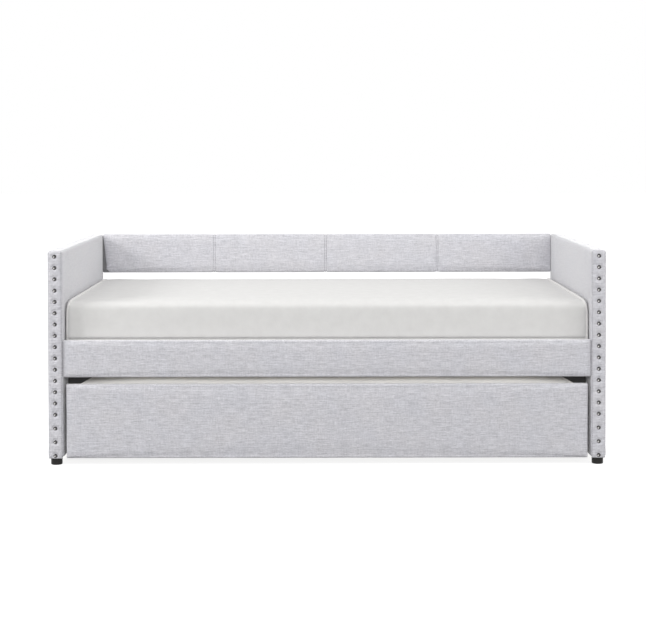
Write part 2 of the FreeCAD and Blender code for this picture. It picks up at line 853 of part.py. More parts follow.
def make_deck():
    names = ("front_left", "front_right", "rear_left", "rear_right")
    for place_name, piece in zip(names, four_corners("bracket", bracket(), "along")):
        node(f"{place_name}_bearer_bracket", piece)
    front = node("front_bearer", bearer())
    node("rear_bearer", mirrored("rear_bearer", front, "along"))
    for i in range(int(value("slat_count"))):
        make_slat(f"deck_slat_{i + 1:02d}", f"{i} * slat_pitch - slat_run / 2")

    arm_bolts, bolt = fastener(
        "arm_bolts",
        ("bracket_thickness - arm_inner", "front_face + arm_bolt_depth", "arm_bolt_height"),
        "X",
        "-",
        ("bolt_diameter", "bracket_thickness + arm_padding + hook_depth - 1"),
        ("bolt_head_diameter", "bolt_head_thickness"),
    )
    repeat(arm_bolts, bolt, [("Z_Axis", "arm_bolt_spacing", "2")])
    bearer_bolts, bolt = fastener(
        "bearer_bolts",
        ("bearer_bolt_margin - arm_inner", "front_face + bracket_front", "bearer_bolt_height"),
        "Y",
        "",
        ("bolt_diameter", "bearer_bolt_length"),
        ("bolt_head_diameter", "bolt_head_thickness"),
    )
    repeat(bearer_bolts, bolt, [("X_Axis", "bearer_bolt_spacing", "2")])
    corner = group("corner_bolts", [arm_bolts, bearer_bolts])
    node("bracket_bolts", group("bracket_bolts", four_corners("corner_bolts", corner, "along")))

    screws, screw = fastener(
        "deck_slat_screws",
        (
            "-slat_run / 2",
            "front_face + slat_front + slat_screw_inset",
            "deck_top - screw_head_thickness",
        ),
        "Z",
        "-",
        ("screw_diameter", "deck_screw_length"),
        ("screw_head_diameter", "screw_head_thickness"),
    )
    repeat(screws, screw, [("X_Axis", "slat_pitch", "slat_count"), ("Y_Axis", "slat_screw_span", "2")])
    node("deck_slat_screws", screws)


def make_mattress(name, front, base, height, rounding):
    body = new_body(name, ("-mattress_length / 2", front, base))
    plan = new_sketch(body, "XY_Plane")
    rectangle(plan, "0", "0", "mattress_length", "mattress_width")
    pad(body, plan, height)
    round_edges(body, rounding, lambda edge: True)
    return node(name, body)


# ---------------------------------------------------------------- trundle

def make_trundle_panel():
    """The padded front panel: a board wrapped all round in foam and fabric."""
    board = block(
        "panel_board",
        (
            "trundle_padding - trundle_half",
            "trundle_front + trundle_padding",
            "trundle_ground_gap + trundle_padding",
        ),
        (
            "2 * (trundle_half - trundle_padding)",
            "trundle_panel_board",
            "trundle_panel_height - 2 * trundle_padding",
        ),
    )
    bolt_radius = "bolt_diameter / 2 + fit_clearance"
    left_hole = rod(
        "panel_bolt_hole",
        "Y",
        ("-caster_side", "trundle_box_front - trundle_padding - panel_bolt_grip - 1", "block_screw_height"),
        bolt_radius,
        "panel_bolt_grip + trundle_padding + 1",
    )
    right_hole = mirrored("panel_right_hole", left_hole, "across")
    holes = fuse("panel_bolt_holes", [left_hole, right_hole])
    node("trundle_front_board", cut("trundle_front_board", board, holes))

    wrap = new_body("panel_wrap", ("-trundle_half", "trundle_front", "trundle_ground_gap"))
    face = new_sketch(wrap, "XZ_Plane", "-trundle_panel_thickness")
    rectangle(face, "0", "0", "2 * trundle_half", "trundle_panel_height")
    pad(wrap, face, "trundle_panel_thickness")
    round_edges(wrap, "trundle_panel_rounding", lambda edge: True)
    node("trundle_front_cover", cut("trundle_front_cover", wrap, fuse("panel_hollow", [board, holes])))


def make_trundle_box():
    side_gap_end = "-trundle_half"
    side = block(
        "side_blank",
        (side_gap_end, "trundle_box_front", "trundle_side_base"),
        ("trundle_board_thickness", "trundle_box_depth", "trundle_side_height"),
    )
    back = block(
        "back_blank",
        (side_gap_end, "trundle_box_back", "trundle_side_base"),
        ("2 * trundle_half", "trundle_board_thickness", "trundle_back_height"),
    )
    corner_block = block(
        "corner_blank",
        ("-trundle_side_inner", "trundle_box_front", "block_base"),
        ("block_size", "block_depth", "block_height"),
    )
    screw_hole = "screw_diameter / 2 + fit_clearance"
    side_hole = rod(
        "side_screw_hole",
        "X",
        ("-trundle_half", "block_screw_front", "block_screw_height"),
        screw_hole,
        "frame_screw_length + 1",
    )
    rear_side_hole = mirrored("side_rear_hole", side_hole, "along trundle")
    side_holes = fuse("side_screw_holes", [side_hole, rear_side_hole])
    back_hole = rod(
        "back_screw_hole",
        "Y",
        (
            "-caster_side - screw_head_diameter",
            "trundle_box_back + trundle_board_thickness - frame_screw_length - 1",
            "block_screw_height",
        ),
        screw_hole,
        "frame_screw_length + 1",
    )
    back_holes = fuse("back_screw_holes", [back_hole, mirrored("back_right_hole", back_hole, "across")])
    panel_hole = rod(
        "block_bolt_hole",
        "Y",
        ("-caster_side", "trundle_box_front", "block_screw_height"),
        "bolt_diameter / 2 + fit_clearance",
        "block_size",
    )
    head_recess = rod(
        "bolt_head_recess",
        "Y",
        ("-caster_side", "panel_bolt_seat", "block_screw_height"),
        "bolt_head_diameter / 2 + bolt_head_clearance",
        "block_depth - block_size + 1",
    )
    half = "fork_screw_spacing / 2"
    caster_holes = [
        rod(
            f"caster_hole_{i}",
            "Z",
            (f"-caster_side + {sx}{half}", f"caster_front + {sy}{half}", "block_base"),
            screw_hole,
            "fork_screw_length - fork_plate_thickness + 1",
        )
        for i, (sx, sy) in enumerate((("", ""), ("", "-"), ("-", ""), ("-", "-")))
    ]
    drilled_block = cut("drilled_block", corner_block, fuse("block_holes", [side_hole] + caster_holes))
    front_block = cut("front_block", drilled_block, fuse("bolt_way", [panel_hole, head_recess]))
    rear_blank = mirrored("rear_blank", drilled_block, "along trundle")
    rear_block = cut("rear_block", rear_blank, back_hole)
    left_blocks = group("left_blocks", [front_block, rear_block])

    left_side = node("trundle_left_side", cut("trundle_left_side", side, side_holes))
    node("trundle_right_side", mirrored("trundle_right_side", left_side, "across"))
    node("trundle_back_board", cut("trundle_back_board", back, back_holes))
    node(
        "trundle_corner_blocks",
        group("trundle_corner_blocks", [left_blocks, mirrored("right_blocks", left_blocks, "across")]),
    )
    ledger = node(
        "trundle_front_ledger",
        block(
            "front_ledger",
            ("-block_inner", "trundle_box_front", "slat_base - ledger_height"),
            ("ledger_length", "ledger_depth", "ledger_height"),
        ),
    )
    node("trundle_back_ledger", mirrored("back_ledger", ledger, "along trundle"))


def make_trundle_slats():
    first = ("slat_end_gap - trundle_side_inner", "trundle_box_front + fit_clearance", "slat_base")
    body = new_body("trundle_slats", first)
    plan = new_sketch(body, "XY_Plane")
    rectangle(plan, "0", "0", "slat_width", "trundle_box_depth - 2 * fit_clearance")
    slat = pad(body, plan, "slat_thickness")
    repeat(body, slat, [("X_Axis", "trundle_slat_pitch", "trundle_slat_count")])
    round_edges(body, "slat_rounding", lambda edge: runs_along(edge, Y_AXIS))
    node("trundle_slats", body)


def make_trundle_screws():
    side_screw = fastener(
        "side_screw",
        ("-trundle_half", "block_screw_front", "block_screw_height"),
        "X",
        "",
        ("screw_diameter", "frame_screw_length"),
        ("screw_head_diameter", "screw_head_thickness"),
    )[0]
    back_screw = fastener(
        "back_screw",
        (
            "-caster_side - screw_head_diameter",
            "trundle_box_back + trundle_board_thickness",
            "block_screw_height",
        ),
        "Y",
        "-",
        ("screw_diameter", "frame_screw_length"),
        ("screw_head_diameter", "screw_head_thickness"),
    )[0]
    panel_bolt = fastener(
        "panel_bolt",
        ("-caster_side", "panel_bolt_seat", "block_screw_height"),
        "Y",
        "-",
        ("bolt_diameter", "block_size + trundle_padding + panel_bolt_grip"),
        ("bolt_head_diameter", "bolt_head_thickness"),
    )[0]
    left = group(
        "left_frame_screws",
        [side_screw, mirrored("rear_side_screw", side_screw, "along trundle"), back_screw, panel_bolt],
    )
    right = mirrored("right_frame_screws", left, "across")
    node("trundle_frame_screws", group("trundle_frame_screws", [left, right]))


def caster_fork():
    """A fixed caster's pressed fork: a screwed plate and two cheeks that hold the axle."""
    body = new_body("fork", ("-caster_side", "caster_front", "wheel_diameter / 2"))
    plate_base = "fork_plate_base - wheel_diameter / 2"
    plate = new_sketch(body, "XY_Plane", plate_base)
    rectangle(plate, *(f"{sign}fork_plate_size / 2" for sign in ("-", "-", "", "")))
    pad(body, plate, "fork_plate_thickness")
    for offset in ("fork_gap / 2", "-fork_gap / 2 - fork_cheek_wall"):
        cheek = new_sketch(body, "YZ_Plane", offset)
        half_cheek = "fork_cheek_width / 2"
        rectangle(cheek, "-" + half_cheek, "-fork_cheek_overhang", half_cheek, plate_base)
        pad(body, cheek, "fork_cheek_wall")
    low = -value("fork_cheek_overhang") + 0.1
    round_edges(
        body,
        "fork_cheek_rounding",
        lambda edge: runs_along(edge, X_AXIS) and edge.BoundBox.ZMax < low,
    )
    bore = new_sketch(body, "YZ_Plane", "fork_outside / 2")
    circle(bore, "0", "0", "axle_diameter / 2 + running_clearance")
    pocket(body, bore, "fork_outside")
    screws = new_sketch(body, "XY_Plane", f"{plate_base} + fork_plate_thickness")
    half = "fork_screw_spacing / 2"
    for x, y in ((half, half), (half, "-" + half), ("-" + half, half), ("-" + half, "-" + half)):
        circle(screws, x, y, "screw_diameter / 2 + fit_clearance")
    pocket(body, screws, "fork_plate_thickness")
    return body


def caster_wheel():
    """A moulded wheel with a rounded tread, sunk webs and a hub."""
    body = new_body("wheel", ("-caster_side", "caster_front", "wheel_diameter / 2"))
    section = new_sketch(body, "XY_Plane")
    face, web = "wheel_width / 2", "wheel_width / 2 - wheel_web_recess"
    bore, hub = "axle_diameter / 2 + running_clearance", "wheel_hub_radius"
    rim, tread = "wheel_diameter / 2 - wheel_rim_depth", "wheel_diameter / 2"
    side = [(face, bore), (face, hub), (web, hub), (web, rim), (face, rim), (face, tread)]
    outline(section, side + [(f"-({x})", radius) for x, radius in reversed(side)])
    revolve(body, section, "H_Axis")
    rim_edge = value("wheel_diameter") / 2 - 0.1
    round_edges(
        body,
        "wheel_rounding",
        lambda edge: edge.BoundBox.ZMax > rim_edge and edge.BoundBox.XLength < 0.1,
    )
    return body


def make_casters():
    names = ("front_left", "front_right", "rear_left", "rear_right")
    for kind, piece in (("caster_fork", caster_fork()), ("caster_wheel", caster_wheel())):
        for place_name, copy in zip(names, four_corners(kind, piece, "along trundle")):
            node(f"{place_name}_{kind}", copy)

    pin_start = "-caster_side - axle_grip / 2"
    pin_height = "wheel_diameter / 2"
    stem = rod("axle_stem", "X", (pin_start, "caster_front", pin_height), "axle_diameter / 2", "axle_grip")
    outer = rod(
        "axle_outer_head",
        "X",
        (f"{pin_start} - axle_head_thickness", "caster_front", pin_height),
        "axle_head_diameter / 2",
        "axle_head_thickness",
    )
    inner = rod(
        "axle_inner_head",
        "X",
        ("-caster_side + axle_grip / 2", "caster_front", pin_height),
        "axle_head_diameter / 2",
        "axle_head_thickness",
    )
    axle = fuse("axle", [stem, outer, inner])
    node("caster_axles", group("caster_axles", four_corners("axle", axle, "along trundle")))

    half = "fork_screw_spacing / 2"
    screws, screw = fastener(
        "caster_screw_set",
        (f"-caster_side - {half}", f"caster_front - {half}", "fork_plate_base"),
        "Z",
        "",
        ("screw_diameter", "fork_screw_length"),
        ("screw_head_diameter", "screw_head_thickness"),
    )
    repeat(screws, screw, [("X_Axis", "fork_screw_spacing", "2"), ("Y_Axis", "fork_screw_spacing", "2")])
    node("caster_screws", group("caster_screws", four_corners("caster_screw_set", screws, "along trundle")))


# ---------------------------------------------------------------- the whole bed

make_arms()
make_feet()
make_rails()
make_deck()
make_mattress(
    "mattress",
    "front_face + mattress_front",
    "deck_top + mattress_lift",
    "mattress_height",
    "mattress_rounding",
)
make_trundle_panel()
make_trundle_box()
make_trundle_slats()
make_trundle_screws()
make_casters()
make_mattress(
    "trundle_mattress",
    "trundle_box_front + mattress_front_gap",
    "trundle_deck_top + mattress_lift",
    "trundle_mattress_height",
    "trundle_mattress_rounding",
)
doc.recompute()

failed = [thing.Name for thing in doc.Objects if {"Invalid", "Error"} & set(thing.State)]
if failed:
    raise RuntimeError("failed objects: " + ", ".join(failed))
bad_shapes = [thing.Label for thing in nodes if thing.Shape.isNull() or not thing.Shape.isValid()]
if bad_shapes:
    raise RuntimeError("bad shapes: " + ", ".join(bad_shapes))
os.makedirs("parts", exist_ok=True)
for thing in nodes:
    thing.Shape.exportStep(f"parts/{thing.Label}.step")
print(len(nodes), "nodes,", sum(len(thing.Shape.Solids) for thing in nodes), "solids")
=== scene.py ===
"""Trundle daybed: the upholstery, mattresses, trim, finishes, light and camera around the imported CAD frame.

Every place comes from the CAD boxes, in metres: X runs along the bed, Y from front to back, and Z up from
the floor.
"""
import math

import bmesh
import bpy
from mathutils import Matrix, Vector, noise
from mathutils.bvhtree import BVHTree


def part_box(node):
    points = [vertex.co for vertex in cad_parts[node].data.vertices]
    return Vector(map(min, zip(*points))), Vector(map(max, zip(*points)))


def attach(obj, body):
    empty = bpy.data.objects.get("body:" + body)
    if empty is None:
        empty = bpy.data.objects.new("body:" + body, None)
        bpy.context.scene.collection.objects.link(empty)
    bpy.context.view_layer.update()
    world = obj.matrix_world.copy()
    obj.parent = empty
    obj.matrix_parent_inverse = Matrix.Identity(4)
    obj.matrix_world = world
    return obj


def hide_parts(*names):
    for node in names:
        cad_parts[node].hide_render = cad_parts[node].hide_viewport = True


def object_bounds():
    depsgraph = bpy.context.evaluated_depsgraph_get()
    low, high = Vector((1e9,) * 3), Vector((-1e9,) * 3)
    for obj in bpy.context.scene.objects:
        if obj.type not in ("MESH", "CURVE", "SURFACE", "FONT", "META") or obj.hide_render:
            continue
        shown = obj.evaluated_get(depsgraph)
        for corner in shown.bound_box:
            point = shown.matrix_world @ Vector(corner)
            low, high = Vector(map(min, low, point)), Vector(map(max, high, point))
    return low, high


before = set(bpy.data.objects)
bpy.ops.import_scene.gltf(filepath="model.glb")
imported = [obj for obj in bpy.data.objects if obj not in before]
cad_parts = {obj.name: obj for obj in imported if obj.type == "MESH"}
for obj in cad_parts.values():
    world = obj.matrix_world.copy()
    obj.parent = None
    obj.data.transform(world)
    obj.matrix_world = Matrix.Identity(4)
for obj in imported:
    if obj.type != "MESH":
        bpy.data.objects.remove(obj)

cad_low, cad_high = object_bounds()
MM = 0.001

# ---------------------------------------------------------------- camera

CAMERA_PLACE = (0.0, -6.102, 1.1735)
CAMERA_LENS = 85.30
CAMERA_SENSOR = 36.0
CAMERA_PITCH_DOWN = math.radians(1.5)
CAMERA_ROLL = math.radians(0.103)
CAMERA_SHIFT_X = -0.0055
CAMERA_SHIFT_Y = -0.2102
CAMERA_FAR = 100.0


def make_camera():
    lens = bpy.data.cameras.new("camera")
    lens.lens = CAMERA_LENS
    lens.sensor_width = CAMERA_SENSOR
    lens.shift_x = CAMERA_SHIFT_X
    lens.shift_y = CAMERA_SHIFT_Y
    lens.clip_end = CAMERA_FAR
    camera = bpy.data.objects.new("camera", lens)
    camera.location = CAMERA_PLACE
    camera.rotation_euler = (math.pi / 2 - CAMERA_PITCH_DOWN, CAMERA_ROLL, 0.0)
    bpy.context.scene.collection.objects.link(camera)
    bpy.context.scene.camera = camera


# ---------------------------------------------------------------- node trees


class Tree:
    """Adds nodes to one node tree and joins them; a value is a number, a tuple or another node's output."""

    def __init__(self, tree):
        self.tree = tree

    def feed(self, socket, value):
        if isinstance(value, bpy.types.NodeSocket):
            self.tree.links.new(value, socket)
        else:
            socket.default_value = value

    def add(self, kind, inputs=None, **settings):
        node = self.tree.nodes.new(kind)
        for name, value in settings.items():
            setattr(node, name, value)
        for name, value in (inputs or {}).items():
            self.feed(node.inputs[name], value)
        return node

    def math(self, operation, first, second=0.0, third=0.0):
        node = self.add("ShaderNodeMath", operation=operation)
        for socket, value in zip(node.inputs, (first, second, third)):
            self.feed(socket, value)
        return node.outputs[0]

    def blend(self, factor, first, second):
        """A plain mix of two numbers."""
        inputs = {"Factor": factor, "A": first, "B": second}
        return self.add("ShaderNodeMix", inputs, data_type="FLOAT").outputs["Result"]

    def tint(self, factor, first, second, way="MIX"):
        """A mix of two colours."""
        node = self.add("ShaderNodeMix", data_type="RGBA", blend_type=way)
        self.feed(node.inputs["Factor"], factor)
        self.feed(node.inputs[6], first)
        self.feed(node.inputs[7], second)
        return node.outputs[2]

    def stretched(self, vector, scale):
        inputs = {0: vector, 1: scale}
        return self.add("ShaderNodeVectorMath", inputs, operation="MULTIPLY").outputs[0]

    def noise(self, vector, scale=1.0, detail=2.0, rough=0.5):
        inputs = {"Vector": vector, "Scale": scale, "Detail": detail, "Roughness": rough}
        return self.add("ShaderNodeTexNoise", inputs).outputs["Fac"]

    def span(self, value, low, high, new_low=0.0, new_high=1.0):
        """The value's range low to high carried over to a new one, held inside it."""
        inputs = {"Value": value, "From Min": low, "From Max": high, "To Min": new_low, "To Max": new_high}
        return self.add("ShaderNodeMapRange", inputs).outputs["Result"]


def effect(name, inputs, outputs):
    """A new shader node group: its tree, its inputs by name, and its output node."""
    group = bpy.data.node_groups.new(name, "ShaderNodeTree")
    kinds = {"color": "NodeSocketColor", "value": "NodeSocketFloat", "vector": "NodeSocketVector"}
    for socket, kind, start in inputs:
        made = group.interface.new_socket(name=socket, in_out="INPUT", socket_type=kinds[kind])
        made.default_value = start
    for socket, kind in outputs:
        group.interface.new_socket(name=socket, in_out="OUTPUT", socket_type=kinds[kind])
    tree = Tree(group)
    entry = tree.add("NodeGroupInput")
    leave = tree.add("NodeGroupOutput")
    return group, tree, entry.outputs, leave


# A face counts as looking along an axis when its normal leans less than 45 degrees from it.
MOSTLY_ALONG = 0.71


def cloth_plane(tree):
    """Where a point lies in the cloth: across and up on upright faces, across and back on level ones."""
    place = tree.add("ShaderNodeTexCoord").outputs
    where = tree.add("ShaderNodeSeparateXYZ", {0: place["Object"]}).outputs
    facing = tree.add("ShaderNodeSeparateXYZ", {0: place["Normal"]}).outputs
    faces_sideways = tree.math("GREATER_THAN", tree.math("ABSOLUTE", facing["X"]), MOSTLY_ALONG)
    faces_up = tree.math("GREATER_THAN", tree.math("ABSOLUTE", facing["Z"]), MOSTLY_ALONG)
    across = tree.blend(faces_sideways, where["X"], where["Y"])
    along = tree.blend(faces_up, where["Z"], where["Y"])
    plane = tree.add("ShaderNodeCombineXYZ", {"X": across, "Y": along}).outputs[0]
    return plane, across, along


def make_weave_effect():
    """Plain weave of two yarns with thick and thin slubs and a slow drift of tone."""
    group, tree, given, leave = effect(
        "slubbed weave",
        [
            ("Pale Yarn", "color", (0.6, 0.6, 0.63, 1)),
            ("Dark Yarn", "color", (0.5, 0.5, 0.53, 1)),
            ("Tint", "color", (1, 1, 1, 1)),
            ("Yarn Pitch", "value", 0.0014),
            ("Slub Strength", "value", 1.0),
        ],
        [("Color", "color"), ("Height", "value"), ("Roughness", "value")],
    )
    plane, across, along = cloth_plane(tree)
    turn = tree.math("DIVIDE", 2 * math.pi, given["Yarn Pitch"])
    sway = tree.math("MULTIPLY", tree.noise(plane, scale=70.0), 2.2)
    weft = tree.math("SINE", tree.math("ADD", tree.math("MULTIPLY", along, turn), sway))
    warp = tree.math("SINE", tree.math("ADD", tree.math("MULTIPLY", across, turn), sway))
    crossing = tree.math("MULTIPLY", weft, warp)

    weft_slub = tree.noise(tree.stretched(plane, (24.0, 210.0, 1.0)), detail=3.0, rough=0.6)
    fine_slub = tree.noise(tree.stretched(plane, (110.0, 420.0, 1.0)), rough=0.6)
    warp_slub = tree.noise(tree.stretched(plane, (300.0, 34.0, 1.0)))
    slub = tree.math("MULTIPLY_ADD", weft_slub, 0.45, tree.math("MULTIPLY", warp_slub, 0.2))
    slub = tree.math("MULTIPLY_ADD", fine_slub, 0.35, slub)
    stood_out = tree.span(slub, 0.36, 0.64)
    mixed = tree.blend(given["Slub Strength"], 0.5, stood_out)
    mixed = tree.math("MULTIPLY_ADD", crossing, 0.08, mixed)
    held = tree.math("MAXIMUM", tree.math("MINIMUM", mixed, 1.0), 0.0)
    yarns = tree.tint(held, given["Dark Yarn"], given["Pale Yarn"])

    drift = tree.span(tree.noise(plane, scale=7.0, detail=3.0), 0.35, 0.65)
    tinted = tree.tint(drift, yarns, tree.tint(1.0, yarns, given["Tint"], "MULTIPLY"))
    height = tree.math("MULTIPLY_ADD", crossing, 0.3, tree.math("MULTIPLY", stood_out, 0.7))
    tree.feed(leave.inputs["Color"], tinted)
    tree.feed(leave.inputs["Height"], height)
    tree.feed(leave.inputs["Roughness"], tree.span(stood_out, 0.0, 1.0, 0.94, 0.82))
    return group


def make_knit_effect():
    """Close stretch knit: fine upright ribs with a soft mottling."""
    group, tree, given, leave = effect(
        "stretch knit",
        [
            ("Face Colour", "color", (0.75, 0.74, 0.73, 1)),
            ("Valley Colour", "color", (0.7, 0.69, 0.68, 1)),
            ("Rib Pitch", "value", 0.0018),
        ],
        [("Color", "color"), ("Height", "value"), ("Roughness", "value")],
    )
    plane, across, along = cloth_plane(tree)
    turn = tree.math("DIVIDE", 2 * math.pi, given["Rib Pitch"])
    rib = tree.math("SINE", tree.math("MULTIPLY", across, turn))
    stitch = tree.math("SINE", tree.math("MULTIPLY", along, tree.math("MULTIPLY", turn, 0.7)))
    knit = tree.math("MULTIPLY_ADD", tree.math("MULTIPLY", rib, stitch), 0.5, 0.5)
    mottle = tree.noise(plane, scale=24.0, detail=4.0, rough=0.6)
    share = tree.span(tree.math("MULTIPLY_ADD", knit, 0.3, mottle), 0.35, 0.95)
    tree.feed(leave.inputs["Color"], tree.tint(share, given["Valley Colour"], given["Face Colour"]))
    tree.feed(leave.inputs["Height"], tree.math("MULTIPLY_ADD", mottle, 0.6, knit))
    tree.feed(leave.inputs["Roughness"], tree.span(mottle, 0.3, 0.7, 0.92, 0.8))
    return group


def make_grain_effect():
    """Sawn timber: growth rings pulled out along the board, fine pores and a dusty sheen."""
    group, tree, given, leave = effect(
        "timber grain",
        [
            ("Place", "vector", (0, 0, 0)),
            ("Early Wood", "color", (0.6, 0.45, 0.28, 1)),
            ("Late Wood", "color", (0.4, 0.27, 0.14, 1)),
        ],
        [("Color", "color"), ("Height", "value"), ("Roughness", "value")],
    )
    rings = tree.noise(given["Place"], scale=9.0, detail=3.0, rough=0.6)
    bands = tree.math("FRACT", tree.math("MULTIPLY", rings, 9.0))
    pores = tree.noise(tree.stretched(given["Place"], (4.0, 12.0, 12.0)), scale=14.0)
    share = tree.math("MULTIPLY_ADD", bands, 0.6, tree.math("MULTIPLY", pores, 0.4))
    tree.feed(leave.inputs["Color"], tree.tint(share, given["Early Wood"], given["Late Wood"]))
    tree.feed(leave.inputs["Height"], share)
    tree.feed(leave.inputs["Roughness"], tree.span(pores, 0.3, 0.7, 0.55, 0.75))
    return group


# Which way a dome's painted highlight faces, and how nearly a face must look that way.
CROWN_HIGHLIGHT_FACING = (-0.2, -0.97, -0.14)
CROWN_HIGHLIGHT_FROM = 0.955
CROWN_HIGHLIGHT_FULL = 0.995


def make_finish_effect():
    """A moulded, painted or plated surface: fine grit, slow patches, scuffs that show a second colour, and
    a painted highlight: paler colour on a dome's crown where it faces the front."""
    group, tree, given, leave = effect(
        "handled finish",
        [
            ("Colour", "color", (0.05, 0.05, 0.05, 1)),
            ("Scuff Colour", "color", (0.2, 0.2, 0.2, 1)),
            ("Grit Scale", "value", 900.0),
            ("Scuffs", "value", 0.3),
            ("Smooth", "value", 0.35),
            ("Dull", "value", 0.55),
            ("Crown Colour", "color", (0.05, 0.05, 0.05, 1)),
            ("Crown Wear", "value", 0.0),
        ],
        [("Color", "color"), ("Height", "value"), ("Roughness", "value")],
    )
    place = tree.add("ShaderNodeTexCoord").outputs["Object"]
    # Painted highlight: the crown takes the paler highlight colour where its normal faces the front.
    facing = tree.add("ShaderNodeVectorMath", operation="DOT_PRODUCT")
    tree.feed(facing.inputs[0], tree.add("ShaderNodeNewGeometry").outputs["Normal"])
    facing.inputs[1].default_value = CROWN_HIGHLIGHT_FACING
    highlight_faced = tree.span(facing.outputs["Value"], CROWN_HIGHLIGHT_FROM, CROWN_HIGHLIGHT_FULL)
    crown = tree.math("MULTIPLY", highlight_faced, given["Crown Wear"])
    grit = tree.noise(place, scale=given["Grit Scale"])
    patches = tree.noise(place, scale=22.0, detail=4.0, rough=0.6)
    scratches = tree.noise(tree.stretched(place, (90.0, 240.0, 40.0)), detail=4.0, rough=0.7)
    worn = tree.math("MULTIPLY", tree.span(scratches, 0.56, 0.7), given["Scuffs"])
    shaded = tree.tint(tree.span(patches, 0.3, 0.7, 0.0, 0.35), given["Colour"], given["Scuff Colour"])
    plain = tree.tint(0.7, shaded, given["Colour"])
    scuffed = tree.tint(worn, plain, given["Scuff Colour"])
    tree.feed(leave.inputs["Color"], tree.tint(crown, scuffed, given["Crown Colour"]))
    tree.feed(leave.inputs["Height"], tree.math("MULTIPLY_ADD", scratches, 0.4, grit))
    tree.feed(leave.inputs["Roughness"], tree.blend(patches, given["Smooth"], given["Dull"]))
    return group


def material(name, group, values, bump_depth, bump_strength=1.0, place=None, **surface):
    """A Principled material whose colour, roughness and bump come from one effect group."""
    made = bpy.data.materials.new(name)
    made.use_nodes = True
    tree = Tree(made.node_tree)
    shader = made.node_tree.nodes["Principled BSDF"]
    effect_node = tree.add("ShaderNodeGroup", node_tree=group)
    for socket, value in values.items():
        tree.feed(effect_node.inputs[socket], value)
    if place is not None:
        spot = tree.add("ShaderNodeTexCoord").outputs["Object"]
        tree.feed(effect_node.inputs["Place"], tree.stretched(spot, place))
    relief = {"Height": effect_node.outputs["Height"], "Distance": bump_depth, "Strength": bump_strength}
    bump = tree.add("ShaderNodeBump", relief)
    tree.feed(shader.inputs["Base Color"], effect_node.outputs["Color"])
    tree.feed(shader.inputs["Roughness"], effect_node.outputs["Roughness"])
    tree.feed(shader.inputs["Normal"], bump.outputs["Normal"])
    for socket, value in surface.items():
        shader.inputs[socket.replace("_", " ")].default_value = value
    return made


